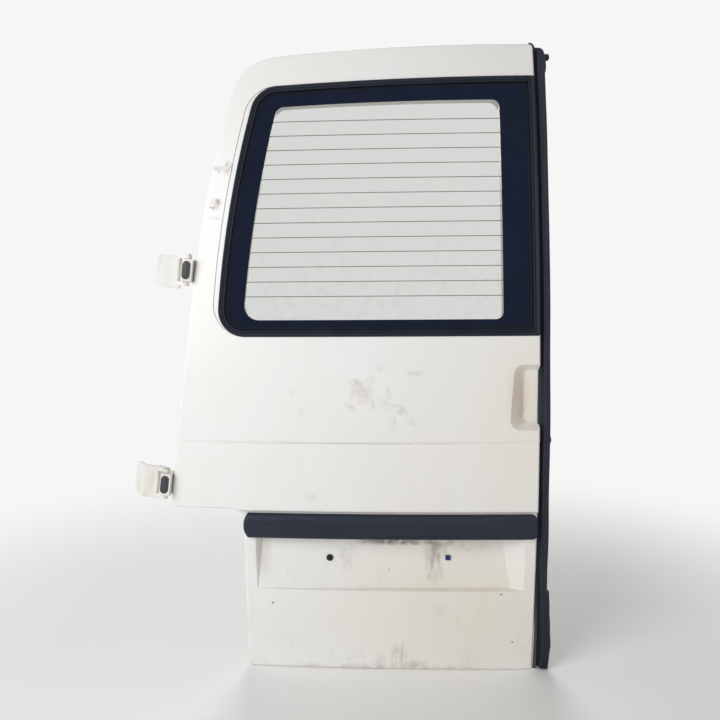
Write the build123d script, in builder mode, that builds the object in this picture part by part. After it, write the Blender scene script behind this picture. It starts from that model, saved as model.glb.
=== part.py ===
"""Left rear barn door of a camper van, seen from outside, hung on two inclined hinges.

The door is drawn in its own coordinates and moved into the shared frame when it is saved:
X = 0 at the free edge and negative towards the hinges, Z = 0 at the bottom edge,
Y = 0 on the outermost point of the skin and positive towards the inside of the van.
"""

import math
import os

from build123d import *

os.makedirs("parts", exist_ok=True)

# Door outline, seen from behind the van
door_height = 1410
top_corner_x = -650
top_corner_z = door_height - 25
top_sagitta = 9
hinge_edge_bend_x = -755
hinge_edge_bend_z = 900
wide_corner_x = -818
wide_bottom_z = 386
lower_left_x = -653
free_corner_radius = 9
roof_corner_radius = 110
wide_corner_radius = 12
tuck_corner_radius = 34
bottom_corner_radius = 9

# Bow of the skin, from side to side and from top to bottom
plan_radius = 6540
side_radius = 3650
bow_apex_z = 450

# Sheet metal
sheet = 1.2
hem_depth = 16
hem_width = 8
edge_roll_radius = 5
flange_inset = 11.2
pan_edge_radius = 6
seat_gap = 0.3
jamb_inset = 18
door_depth = 56

# Pressed lines across the skin
crease_z = 538
crease_step = 1.5
lower_step_z = 381
lower_step = 10

# Window
gasket_right_x = -1
gasket_top_z = door_height - 73
gasket_bottom_z = 770
gasket_top_left_x = -615
gasket_top_left_z = gasket_top_z - 16
gasket_bottom_left_x = -704
gasket_left_sagitta = 15
gasket_top_sagitta = 4
gasket_top_radius = 62
gasket_bottom_radius = 58
gasket_right_radius = 5
gasket_lap = 4
gasket_lip = 13
gasket_web = 6
gasket_stand = 2.5
shelf_depth = 6.5
shelf_lip = 20
glass_thickness = 4.5
print_thickness = 0.5
print_gap = 0.05
surround_margin = 12
surround_depth = 1.4
clear_right_x = -79
clear_top_z = gasket_top_z - 53
clear_bottom_z = 806
clear_top_left_x = -570
clear_top_left_z = clear_top_z - 9
clear_bottom_left_x = -645
clear_left_sagitta = 9
clear_top_sagitta = 3
clear_top_radius = 22
clear_bottom_radius = 32
clear_right_radius = 16
tunnel_margin = 6
heater_lines = 13
heater_first_z = clear_bottom_z + 51
heater_last_z = clear_top_z - 42
heater_width = 1.6

# Rub strip
strip_top_z = 376
strip_bottom_z = 321
strip_left_x = -653
strip_right_x = -2
strip_proud = 6
strip_edge_radius = 5
strip_left_bulge = 10
strip_right_radius = 9

# Number-plate recess
plate_left_x = -626
plate_right_x = -27
plate_bottom_z = 196
plate_top_z = 352
plate_floor_left = 19
plate_floor_right = 58
plate_depth_bottom = 2
plate_depth_left = 17
plate_depth_right = 32
plate_corner_radius = 4
plate_reach = 60
grommet_x = -461
insert_x = -194
plate_hole_z = 267
plate_hole_radius = 5
grommet_radius = 7.8
insert_side = 11.5
lamp_xs = (-420, -235)
lamp_length = 62
lamp_height = 18
lamp_depth = 15
lamp_corner = 4
grommet_height = 4
grommet_stem = 6
insert_bore = 2

# Finger recess at the free edge
finger_top_z = 714
finger_bottom_z = 564
finger_left_x = -69
finger_floor_left = 36
finger_floor_side = 17
finger_depth = 20
finger_radius = 24
finger_floor_radius = 12
finger_dish_radius = 8
finger_reach = 60

# Edge seal along the free edge
seal_width = 20
seal_front_inset = 6
seal_back_inset = 30
seal_bead_radius = 5
seal_bottom_z = 6
block_top_z = door_height - 10
block_height = 55
seal_top_z = block_top_z - block_height
foot_top_z = 200
foot_extra = 9
block_extra = 5
buffer_drop = 20
buffer_radius = 8
buffer_length = 9

# Hinges, in a local frame with Z along the pin and X towards the door
edge_to_pin = 15
hinge_heights = {"lower": 440.5, "upper": 914}
pin_proud = 2
pin_radius = 4
pin_clearance = 0.05
pin_seat = 0.02
pin_head_radius = 5.5
pin_head_height = 2.5
knuckle_height = 50
knuckle_left = -11
knuckle_right = 13
knuckle_half_depth = 12
knuckle_corner = 4
axial_gap = 0.5
lug_thickness = 8
lug_radius = 7.5
leaf_top = 31
leaf_bottom = -41
leaf_front = 24
leaf_thickness = 10
leaf_right = -20
leaf_left = -55
web_front = 5
web_thickness = 3.5
lip_length = 48
lip_angle = 54
lip_thickness = 5
lip_relief = 3
lip_corner = 9
leaf_hole_x = -39
leaf_hole_spacing = 44
leaf_hole_radius = 3.4
leaf_hole_depth = 8
arm_front = 20
arm_thickness = 8
door_plate_thickness = 4
door_plate_back = 48
cover_length = 40
cover_width = 18
cover_depth = 3
cover_proud = 1
hinge_bolt_radius = 6.5
hinge_bolt_height = 5
hinge_bolt_spacing = 30

# Inner side
trim_left_x = -596
trim_right_x = -72
trim_bottom_z = 56
trim_top_z = 712
trim_thickness = 3
trim_corner_radius = 40
clip_radius = 9
clip_height = 2.5
clip_margin = 22
clip_rows = 4
clip_columns = 3
latch_width = 42
latch_height = 96
latch_depth = 17
latch_slot = 12
latch_slot_radius = 5.5
latch_corner = 6
latch_zs = {"upper": door_height - 98, "lower": 84}
latch_x = -46
lever_z = 640
lever_length = 118
lever_width = 26
lever_end_radius = 12
lever_edge_radius = 4
striker_z = 500
striker_inset = 42
striker_bend = 10
striker_foot = 15
striker_wire = 4.5
striker_reach = 26
striker_span = 44
striker_plate = 3
striker_plate_width = 14
bung_radius = 14
bung_height = 3
bung_spots = ((-716, 800), (-745, 560), (-700, 470), (-690, 640))
pad_radius = 13
pad_height = 11
pad_spots = ((-732, 720), (-608, 36), (-46, 760))

outline_reach = 400
cut_reach = 30
hem_trim = 0.6
shelf_flange = 18
plan_sweep = 9.6
plan_start = 0.6
slab_low_z = -60
slab_high_z = door_height + 60

plan_axis = Axis((0, plan_radius, 0), (0, 0, -1))
side_axis = Axis((0, side_radius, bow_apex_z), (-1, 0, 0))


def side_y(z, inset):
    """Y of the bowed surface on the van's centre line, at a height and an inset from the skin."""
    return side_radius - math.sqrt((side_radius - inset) ** 2 - (z - bow_apex_z) ** 2)


def skin_y(x, z, inset=0):
    """Y of the bowed surface anywhere on the door."""
    reach = plan_radius - side_y(z, inset)
    return plan_radius - math.sqrt(reach ** 2 - x ** 2)


def slab(outer, inner):
    """Layer of the bowed door between two insets from the skin, larger than the door."""
    with BuildPart() as layer:
        with BuildSketch(Plane.YZ):
            with BuildLine():
                front = ThreePointArc(
                    (side_y(slab_low_z, outer), slab_low_z),
                    (side_y(bow_apex_z, outer), bow_apex_z),
                    (side_y(slab_high_z, outer), slab_high_z),
                )
                back = ThreePointArc(
                    (side_y(slab_low_z, inner), slab_low_z),
                    (side_y(bow_apex_z, inner), bow_apex_z),
                    (side_y(slab_high_z, inner), slab_high_z),
                )
                Line(front @ 0, back @ 0)
                Line(front @ 1, back @ 1)
            make_face()
        revolve(axis=plan_axis, revolution_arc=plan_sweep)
    return layer.part.rotate(plan_axis, -plan_start)


def sheet_piece(outer, inner, *outlines):
    """Part of a layer inside the first outline and outside the others."""
    with BuildPart() as piece:
        with BuildSketch(Plane.XZ):
            add(outlines[0])
            for hole in outlines[1:]:
                add(hole, mode=Mode.SUBTRACT)
        extrude(amount=outline_reach, both=True)
        add(slab(outer, inner), mode=Mode.INTERSECT)
    return piece.part


def grown(outline, amount):
    """Outline moved outwards by an amount, or inwards where it is negative."""
    with BuildSketch() as larger:
        add(outline)
        offset(amount=amount, kind=Kind.INTERSECTION)
    return larger.sketch


def rectangle(left, right, bottom, top, radius):
    """Rectangle with rounded corners between four edges."""
    with BuildSketch() as panel:
        with Locations(((left + right) / 2, (bottom + top) / 2)):
            RectangleRounded(right - left, top - bottom, radius)
    return panel.sketch


def window_outline(right, top, bottom, top_left, bottom_left_x, sagittas, radii):
    """Window shape: straight foot and free side, bowed roof line and leaning hinge side."""
    with BuildSketch() as window:
        with BuildLine():
            foot = Line((bottom_left_x, bottom), (right, bottom))
            free_side = Line(foot @ 1, (right, top))
            roof = SagittaArc(free_side @ 1, top_left, -sagittas[0])
            SagittaArc(roof @ 1, foot @ 0, -sagittas[1])
        make_face()
        corners = window.vertices().sort_by(Axis.X)
        fillet(corners[0], radii[1])
        fillet(window.vertices().sort_by_distance(top_left)[0], radii[0])
        fillet(window.vertices().group_by(Axis.X)[-1], radii[2])
    return window.sketch


def door_outline():
    """Whole door: wide above the tail lamp, narrow below it."""
    with BuildSketch() as door:
        with BuildLine():
            free_side = Line((0, 0), (0, door_height))
            foot = Line(free_side @ 0, (lower_left_x, 0))
            rise = Line(foot @ 1, (lower_left_x, wide_bottom_z))
            under = Line(rise @ 1, (wide_corner_x, wide_bottom_z))
            lean = Line(under @ 1, (hinge_edge_bend_x, hinge_edge_bend_z))
            side = TangentArc(lean @ 1, (top_corner_x, top_corner_z), tangent=lean % 1)
            SagittaArc(side @ 1, free_side @ 1, top_sagitta)
        make_face()
        rounding = {
            (0, door_height): free_corner_radius,
            (top_corner_x, top_corner_z): roof_corner_radius,
            (wide_corner_x, wide_bottom_z): wide_corner_radius,
            (lower_left_x, wide_bottom_z): tuck_corner_radius,
            (lower_left_x, 0): bottom_corner_radius,
            (0, 0): bottom_corner_radius,
        }
        for corner, radius in rounding.items():
            fillet(door.vertices().sort_by_distance(corner)[0], radius)
    return door.sketch


def above(outline, level):
    """Part of an outline above a level."""
    with BuildSketch() as upper:
        add(outline)
        with Locations((0, level)):
            Rectangle(-4 * wide_corner_x, 4 * door_height, align=(Align.CENTER, Align.MAX), mode=Mode.SUBTRACT)
    return upper.sketch


def rolled(inset, back, outline, radius):
    """Layer of the door whose front rim is rolled over."""
    with BuildPart() as layer:
        add(sheet_piece(inset, back, outline))
        front = layer.faces().filter_by(GeomType.REVOLUTION).sort_by(Axis.Y)[0]
        fillet(front.edges(), radius)
    return layer.part


def plate_corner(x, z, depth):
    """Point at a depth under the lower panel's face, at a corner of the number-plate recess."""
    return Vector(x, skin_y(x, z, lower_step) + depth, z)


def plate_floor():
    """Plane of the number-plate recess's flat floor, which leans out to the face at its foot."""
    left = plate_left_x + plate_floor_left
    low = plate_corner(left, plate_bottom_z, plate_depth_bottom)
    high = plate_corner(left, plate_top_z, plate_depth_left)
    far = plate_corner(plate_right_x - plate_floor_right, plate_top_z, plate_depth_right)
    across = far - high
    return Plane(origin=low, x_dir=across, z_dir=across.cross(high - low))


def plate_spot(x, z):
    """Plane on the plate recess's floor, at a place seen from behind the van."""
    floor = plate_floor()
    start = Vector(x, 0, z)
    depth = (floor.origin - start).dot(floor.z_dir) / floor.z_dir.Y
    return Plane(origin=start + Vector(0, depth, 0), x_dir=floor.x_dir, z_dir=floor.z_dir)


def plate_pocket(wall):
    """Number-plate recess: upright mouth and ends that slope in to its floor, grown by a sheet's thickness."""
    low_left = plate_corner(plate_left_x, plate_bottom_z, 0)
    across = plate_corner(plate_right_x, plate_bottom_z, 0) - low_left
    rise = plate_corner(plate_left_x, plate_top_z, 0) - low_left
    mouth = Plane(origin=low_left, x_dir=across, z_dir=across.cross(rise))
    left_slope = plate_floor_left / plate_depth_left
    right_slope = plate_floor_right / plate_depth_right
    with BuildPart() as pocket:
        for out in (plate_reach, -plate_reach):
            with BuildSketch(mouth.offset(out)):
                left = -out * left_slope - wall * math.hypot(1, left_slope)
                right = across.length + out * right_slope + wall * math.hypot(1, right_slope)
                add(rectangle(left, right, -wall, rise.length + wall, plate_corner_radius))
        loft(ruled=True)
        split(bisect_by=plate_floor().offset(-wall), keep=Keep.TOP)
    return pocket.part


def finger_pocket(wall):
    """Scoop in the free edge that fingers pull the door open by, grown by a sheet's thickness."""
    floor_y = skin_y(0, (finger_top_z + finger_bottom_z) / 2) + finger_depth + wall
    floor_left = finger_left_x + finger_floor_left - wall
    floor_bottom = finger_bottom_z + finger_floor_side - wall
    floor_top = finger_top_z - finger_floor_side + wall
    with BuildPart() as pocket:
        with BuildSketch(Plane.XZ.offset(-floor_y)):
            add(rectangle(floor_left, finger_reach, floor_bottom, floor_top, finger_floor_radius))
        with BuildSketch(Plane.XZ):
            add(
                rectangle(
                    finger_left_x - wall,
                    finger_reach,
                    finger_bottom_z - wall,
                    finger_top_z + wall,
                    finger_radius,
                )
            )
        loft(ruled=True)
        fillet(pocket.faces().sort_by(Axis.Y)[-1].edges(), finger_dish_radius + wall)
    return pocket.part


def pressed_blank(wall, back):
    """Solid under the skin's outer face, moved inwards by a wall, with every pressing in it."""
    door = grown(door_face, -wall) if wall else door_face
    with BuildPart() as blank:
        add(rolled(lower_step + wall, back, door, edge_roll_radius - wall))
        add(rolled(crease_step + wall, back, above(door, lower_step_z + wall), edge_roll_radius - wall))
        add(rolled(wall, back, above(door, crease_z + wall), edge_roll_radius - wall))
        add(sheet_piece(-cut_reach, surround_depth + wall, surround_face), mode=Mode.SUBTRACT)
        shelf_cut = grown(gasket_face, wall - gasket_lap)
        add(sheet_piece(-cut_reach, shelf_depth + wall, shelf_cut), mode=Mode.SUBTRACT)
        add(plate_pocket(wall), mode=Mode.SUBTRACT)
        add(finger_pocket(wall), mode=Mode.SUBTRACT)
    return blank.part


def save(part, name, place=None):
    """Write one piece as a STEP file, moved from the door's coordinates to the shared frame."""
    placed = part if place is None else part.moved(place)
    placed = placed.moved(to_frame)
    placed.label = name
    export_step(placed, f"parts/{name}.step")


door_face = door_outline()
gasket_face = window_outline(
    gasket_right_x,
    gasket_top_z,
    gasket_bottom_z,
    (gasket_top_left_x, gasket_top_left_z),
    gasket_bottom_left_x,
    (gasket_top_sagitta, gasket_left_sagitta),
    (gasket_top_radius, gasket_bottom_radius, gasket_right_radius),
)
surround_face = window_outline(
    gasket_right_x,
    gasket_top_z,
    gasket_bottom_z,
    (gasket_top_left_x - surround_margin, gasket_top_left_z),
    gasket_bottom_left_x - surround_margin,
    (gasket_top_sagitta, gasket_left_sagitta),
    (gasket_top_radius + surround_margin, gasket_bottom_radius + surround_margin, gasket_right_radius),
)


def clear_window(margin):
    """Outline of the clear glass, or one that runs a margin outside it."""
    chord = Vector(clear_top_left_x - clear_bottom_left_x, clear_top_left_z - clear_bottom_z)
    lean = math.atan2(chord.X, chord.Y)
    bow = 2 * math.atan(2 * clear_left_sagitta / chord.length)
    top_shift = margin * (1 - math.sin(lean + bow)) / math.cos(lean + bow)
    bottom_shift = margin * (1 + math.sin(lean - bow)) / math.cos(lean - bow)
    return window_outline(
        clear_right_x + margin,
        clear_top_z + margin,
        clear_bottom_z - margin,
        (clear_top_left_x - top_shift, clear_top_left_z + margin),
        clear_bottom_left_x - bottom_shift,
        (clear_top_sagitta, clear_left_sagitta),
        (clear_top_radius + margin, clear_bottom_radius + margin, clear_right_radius + margin),
    )


clear_face = clear_window(0)
tunnel_face = clear_window(tunnel_margin)
tunnel_cut = sheet_piece(-cut_reach, door_depth + cut_reach, tunnel_face)

# Pin line: beside the leaning hinge edge, proud of the skin
edge_low = Vector(wide_corner_x, 0, wide_bottom_z)
edge_high = Vector(hinge_edge_bend_x, 0, hinge_edge_bend_z)
edge_lean = (edge_high - edge_low).normalized()
away_from_edge = Vector(-edge_lean.Z, 0, edge_lean.X)


def pin_point(z):
    """Point of the pin line beside a height of the hinge edge."""
    edge = edge_low + edge_lean * ((z - edge_low.Z) / edge_lean.Z)
    on_skin = Vector(edge.X, skin_y(edge.X, edge.Z) - pin_proud, edge.Z)
    return on_skin + away_from_edge * edge_to_pin


hinge_points = {name: pin_point(z) for name, z in hinge_heights.items()}
pin_line = (hinge_points["upper"] - hinge_points["lower"]).normalized()
hinge_places = {
    name: Plane(origin=point, x_dir=-away_from_edge, z_dir=pin_line)
    for name, point in hinge_points.items()
}
leaf_back = leaf_front + leaf_thickness
mount_point = hinge_places["lower"].from_local_coords(Vector(leaf_hole_x, leaf_back, 0))
to_frame = Location(-mount_point)

# Outer skin: one pressing with a turned hem
with BuildPart() as hem_return:
    add(sheet_piece(hem_depth - sheet, hem_depth, door_face, grown(door_face, -hem_width)))
    add(finger_pocket(sheet / 2), mode=Mode.SUBTRACT)
with BuildPart() as outer_skin:
    add(pressed_blank(0, door_depth))
    add(pressed_blank(sheet, door_depth + cut_reach), mode=Mode.SUBTRACT)
    hem_ring = grown(door_face, -sheet - hem_trim)
    add(sheet_piece(hem_depth, door_depth + cut_reach, grown(door_face, cut_reach), hem_ring), mode=Mode.SUBTRACT)
    add(hem_return.part)
    add(tunnel_cut, mode=Mode.SUBTRACT)
    for hole_x in (grommet_x, insert_x):
        with Locations(plate_spot(hole_x, plate_hole_z)):
            Cylinder(plate_hole_radius, cut_reach, mode=Mode.SUBTRACT)
save(outer_skin.part, "outer_skin")

# Inner panel: deep pan with a flange under the skin's hem and an opening behind the window
frame_face = clear_window(tunnel_margin + sheet)


def pan(outline, front, back, radius):
    """Solid of the inner panel whose back rim is rounded."""
    with BuildPart() as deep:
        add(sheet_piece(front, back, outline))
        far = deep.faces().filter_by(GeomType.REVOLUTION).sort_by(Axis.Y)[-1]
        fillet(far.edges(), radius)
    return deep.part


with BuildPart() as inner_panel:
    add(sheet_piece(flange_inset, flange_inset + sheet, door_face))
    add(pan(grown(door_face, -jamb_inset), flange_inset, door_depth, pan_edge_radius))
    hollow = grown(door_face, -jamb_inset - sheet)
    hollow_back = door_depth - sheet
    add(pan(hollow, flange_inset - sheet, hollow_back, pan_edge_radius - sheet), mode=Mode.SUBTRACT)
    add(sheet_piece(-cut_reach, door_depth + cut_reach, frame_face), mode=Mode.SUBTRACT)
    add(pressed_blank(sheet + seat_gap, door_depth + cut_reach), mode=Mode.INTERSECT)
save(inner_panel.part, "inner_panel")

# Window frame: tunnel from the skin's window shelf to the inner panel
shelf_back = shelf_depth + sheet
with BuildPart() as window_frame:
    add(sheet_piece(shelf_back, door_depth, frame_face))
    add(sheet_piece(shelf_back, shelf_back + sheet, clear_window(tunnel_margin + shelf_flange)))
    add(tunnel_cut, mode=Mode.SUBTRACT)
save(window_frame.part, "window_frame")

# Window: glass in a rubber gasket, with its printed border and heater lines behind it
glass_face = grown(gasket_face, -gasket_lap - gasket_web)
save(sheet_piece(0, glass_thickness, glass_face), "window_glass")

with BuildPart() as window_gasket:
    seat_face = grown(gasket_face, -gasket_lap)
    add(sheet_piece(-gasket_stand, 0, gasket_face, grown(gasket_face, -gasket_lip)))
    add(sheet_piece(0, surround_depth, gasket_face, seat_face))
    add(sheet_piece(0, shelf_depth, seat_face, glass_face))
    add(sheet_piece(glass_thickness, shelf_depth, glass_face, grown(gasket_face, -shelf_lip)))
save(window_gasket.part, "window_gasket")

print_front = glass_thickness + print_gap
print_back = print_front + print_thickness
save(sheet_piece(print_front, print_back, grown(gasket_face, -shelf_lip), clear_face), "glass_border")

heater_pitch = (heater_last_z - heater_first_z) / (heater_lines - 1)
with BuildSketch() as heater_face:
    with Locations([(0, heater_first_z + heater_pitch * row) for row in range(heater_lines)]):
        Rectangle(-2 * gasket_bottom_left_x, heater_width)
    add(clear_face, mode=Mode.INTERSECT)
save(sheet_piece(print_front, print_back, heater_face.sketch), "heater_lines")

# Rub strip over the step in the lower panel
with BuildSketch() as strip_face:
    with BuildLine():
        strip_foot = Line((strip_left_x + strip_left_bulge, strip_bottom_z), (strip_right_x, strip_bottom_z))
        strip_end = Line(strip_foot @ 1, (strip_right_x, strip_top_z))
        strip_head = Line(strip_end @ 1, (strip_left_x + strip_left_bulge, strip_top_z))
        ThreePointArc(strip_head @ 1, (strip_left_x, (strip_bottom_z + strip_top_z) / 2), strip_foot @ 0)
    make_face()
    fillet(strip_face.vertices().group_by(Axis.X)[-1], strip_right_radius)
with BuildPart() as rub_strip:
    add(sheet_piece(-strip_proud, lower_step, strip_face.sketch))
    chamfer(rub_strip.faces().sort_by(Axis.Y)[0].edges(), strip_edge_radius)
save(rub_strip.part, "rub_strip")

# Number-plate recess: lamps behind the strip, grommet and screw insert in the floor
lamp_z = strip_bottom_z + lamp_height
for side, lamp_x in zip(("left", "right"), lamp_xs):
    lamp_half = lamp_length / 2
    lamp_top = lamp_z + lamp_height / 2
    lamp_face = rectangle(lamp_x - lamp_half, lamp_x + lamp_half, lamp_top - lamp_height, lamp_top, lamp_corner)
    save(sheet_piece(lower_step, lower_step + lamp_depth, lamp_face), f"plate_lamp_{side}")

with BuildPart() as plate_grommet:
    with Locations(plate_spot(grommet_x, plate_hole_z)):
        Cylinder(grommet_radius, grommet_height, align=(Align.CENTER, Align.CENTER, Align.MIN))
        Cylinder(plate_hole_radius, grommet_stem, align=(Align.CENTER, Align.CENTER, Align.MAX))
    fillet(plate_grommet.edges().filter_by(GeomType.CIRCLE).sort_by(Axis.Y)[0], grommet_height / 2)
save(plate_grommet.part, "plate_grommet")

with BuildPart() as screw_insert:
    with Locations(plate_spot(insert_x, plate_hole_z)):
        Box(insert_side, insert_side, grommet_height, align=(Align.CENTER, Align.CENTER, Align.MIN))
        Cylinder(plate_hole_radius, grommet_stem, align=(Align.CENTER, Align.CENTER, Align.MAX))
        Cylinder(insert_bore, 2 * grommet_stem, mode=Mode.SUBTRACT)
save(screw_insert.part, "screw_insert")

# Edge seal along the free edge
def side_angle(z):
    """Angle of a height around the centre of the door's bow from top to bottom."""
    return math.degrees(math.asin((z - bow_apex_z) / side_radius))


def seal_length(bottom, top, width, radius):
    """Length of rubber seal on the free edge, bowed like the door and rounded along its outer side."""
    with BuildPart() as rubber:
        with BuildSketch(Plane.XY.offset(bow_apex_z)) as section:
            with Locations((width / 2, (seal_front_inset + seal_back_inset) / 2)):
                Rectangle(width, seal_back_inset - seal_front_inset)
            fillet(section.vertices().group_by(Axis.X)[-1], radius)
        revolve(axis=side_axis, revolution_arc=side_angle(top) - side_angle(bottom))
    return rubber.part.rotate(side_axis, side_angle(bottom))


save(seal_length(foot_top_z, seal_top_z, seal_width, seal_bead_radius), "edge_seal")
save(seal_length(seal_bottom_z, foot_top_z, seal_width + foot_extra, seal_bead_radius), "seal_foot")
save(seal_length(seal_top_z, block_top_z, seal_width + block_extra, seal_bead_radius), "seal_top_block")

buffer_z = block_top_z - buffer_drop
buffer_y = skin_y(0, buffer_z, (seal_front_inset + seal_back_inset) / 2)
buffer_start = Plane(origin=(seal_width + block_extra, buffer_y, buffer_z), z_dir=(1, 0, 0))
with BuildPart() as seal_buffer:
    with Locations(buffer_start):
        Cylinder(buffer_radius, buffer_length, align=(Align.CENTER, Align.CENTER, Align.MIN))
    fillet(seal_buffer.faces().sort_by(Axis.X)[-1].edges(), buffer_length / 3)
save(seal_buffer.part, "seal_buffer")

# Hinges: a C-shaped body leaf, a door leaf with a square knuckle, a pin and a cover
lug_start = knuckle_height / 2 + axial_gap
leaf_height = leaf_top - leaf_bottom
with BuildPart() as body_leaf:
    with BuildSketch(Plane.XY.offset(leaf_bottom)):
        with BuildLine():
            bend = (leaf_left, leaf_front)
            reach = lip_length * math.cos(math.radians(lip_angle))
            drop = lip_length * math.sin(math.radians(lip_angle))
            lip_tip = (leaf_left - reach, leaf_front + drop)
            lip_back = (lip_tip[0] + lip_thickness, lip_tip[1])
            Polyline(
                (leaf_right, leaf_front),
                bend,
                lip_tip,
                lip_back,
                (leaf_left + lip_relief, leaf_back),
                (leaf_right, leaf_back),
                close=True,
            )
        make_face()
    extrude(amount=leaf_height)
    with BuildSketch(Plane.XZ):
        with Locations((lip_tip[0], leaf_bottom)):
            RectangleRounded(-2 * lip_tip[0], leaf_height, lip_corner, align=(Align.MIN, Align.MIN))
    extrude(amount=lip_tip[1], both=True, mode=Mode.INTERSECT)
    for lug_bottom in (lug_start, -lug_start - lug_thickness):
        with BuildSketch(Plane.XY.offset(lug_bottom)):
            Circle(lug_radius)
            with BuildLine():
                Polyline(
                    (-lug_radius, 0),
                    (leaf_right - web_thickness, web_front),
                    (leaf_right - web_thickness, leaf_back),
                    (leaf_right, leaf_back),
                    (lug_radius, 0),
                    close=True,
                )
            make_face()
        extrude(amount=lug_thickness)
    with Locations((leaf_right, web_front, 0)):
        Box(
            web_thickness,
            leaf_back - web_front,
            2 * lug_start,
            align=(Align.MAX, Align.MIN, Align.CENTER),
        )
    Cylinder(pin_radius + pin_seat, 2 * leaf_height, mode=Mode.SUBTRACT)
    with Locations(
        (leaf_hole_x, leaf_back, leaf_hole_spacing / 2),
        (leaf_hole_x, leaf_back, -leaf_hole_spacing / 2),
    ):
        Cylinder(leaf_hole_radius, 2 * leaf_hole_depth, rotation=(90, 0, 0), mode=Mode.SUBTRACT)

jamb_x = edge_to_pin + jamb_inset
with BuildPart() as door_leaf:
    with BuildSketch(Plane.XY.offset(-knuckle_height / 2)) as leaf_plan:
        with BuildLine():
            Polyline(
                (knuckle_left, -knuckle_half_depth),
                (knuckle_right, -knuckle_half_depth),
                (knuckle_right, arm_front),
                (jamb_x, arm_front),
                (jamb_x, door_plate_back),
                (jamb_x - door_plate_thickness, door_plate_back),
                (jamb_x - door_plate_thickness, arm_front + arm_thickness),
                (knuckle_right - arm_thickness, arm_front + arm_thickness),
                (knuckle_right - arm_thickness, knuckle_half_depth),
                (knuckle_left, knuckle_half_depth),
                close=True,
            )
        make_face()
        fillet(leaf_plan.vertices().group_by(Axis.X)[0], knuckle_corner)
    extrude(amount=knuckle_height)
    Cylinder(pin_radius + pin_clearance, leaf_height, mode=Mode.SUBTRACT)
    with BuildSketch(Plane.XZ.offset(knuckle_half_depth)):
        SlotOverall(cover_length, cover_width, rotation=90)
    extrude(amount=-cover_depth, mode=Mode.SUBTRACT)

with BuildPart() as hinge_cover:
    with BuildSketch(Plane.XZ.offset(knuckle_half_depth + cover_proud)):
        SlotOverall(cover_length, cover_width, rotation=90)
    extrude(amount=-cover_depth - cover_proud)
    fillet(hinge_cover.faces().sort_by(Axis.Y)[0].edges(), cover_proud / 2)

pin_top = lug_start + lug_thickness
with BuildPart() as hinge_pin:
    Cylinder(pin_radius, 2 * pin_top)
    with Locations((0, 0, pin_top)):
        Cylinder(pin_head_radius, pin_head_height, align=(Align.CENTER, Align.CENTER, Align.MIN))

bolt_y = (arm_front + arm_thickness + door_plate_back) / 2
with BuildPart() as hinge_bolts:
    for bolt_z in (-hinge_bolt_spacing / 2, hinge_bolt_spacing / 2):
        with BuildSketch(Plane.YZ.offset(jamb_x - door_plate_thickness)):
            with Locations((bolt_y, bolt_z)):
                RegularPolygon(hinge_bolt_radius, 6)
        extrude(amount=-hinge_bolt_height)

for hinge, place in hinge_places.items():
    save(body_leaf.part, f"{hinge}_hinge_body_leaf", place.location)
    save(door_leaf.part, f"{hinge}_hinge_door_leaf", place.location)
    save(hinge_cover.part, f"{hinge}_hinge_cover", place.location)
    save(hinge_pin.part, f"{hinge}_hinge_pin", place.location)
    save(hinge_bolts.part, f"{hinge}_hinge_bolts", place.location)

# Inner side: trim panel with clips, latches, release lever, striker, bungs and buffers
trim_face = rectangle(trim_left_x, trim_right_x, trim_bottom_z, trim_top_z, trim_corner_radius)
back_seat = door_depth + seat_gap
trim_back = back_seat + trim_thickness
save(sheet_piece(back_seat, trim_back, trim_face), "trim_panel")


def dots(spots, radius):
    """Equal circles at places on the door's face."""
    with BuildSketch() as circles:
        with Locations(spots):
            Circle(radius)
    return circles.sketch


clip_width = trim_right_x - trim_left_x - 2 * clip_margin
clip_rise = trim_top_z - trim_bottom_z - 2 * clip_margin
clip_spots = []
for row in range(clip_rows):
    for column in range(clip_columns):
        on_rim = row in (0, clip_rows - 1) or column in (0, clip_columns - 1)
        clip_x = trim_left_x + clip_margin + clip_width * column / (clip_columns - 1)
        clip_z = trim_bottom_z + clip_margin + clip_rise * row / (clip_rows - 1)
        if on_rim:
            clip_spots.append((clip_x, clip_z))
clip_seat = trim_back + seat_gap
save(sheet_piece(clip_seat, clip_seat + clip_height, dots(clip_spots, clip_radius)), "trim_clips")

for latch, latch_z in latch_zs.items():
    latch_face = rectangle(
        latch_x - latch_width / 2,
        latch_x + latch_width / 2,
        latch_z - latch_height / 2,
        latch_z + latch_height / 2,
        latch_corner,
    )
    slot_face = rectangle(latch_x, 0, latch_z - latch_slot / 2, latch_z + latch_slot / 2, latch_slot_radius)
    save(sheet_piece(back_seat, back_seat + latch_depth, latch_face, slot_face), f"{latch}_latch")

with BuildPart() as release_lever:
    lever_face = rectangle(
        latch_x - lever_width / 2,
        latch_x + lever_width / 2,
        lever_z - lever_length / 2,
        lever_z + lever_length / 2,
        lever_end_radius,
    )
    add(sheet_piece(back_seat, back_seat + latch_depth, lever_face))
    fillet(release_lever.faces().sort_by(Axis.Y)[-1].edges(), lever_edge_radius)
save(release_lever.part, "release_lever")

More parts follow.
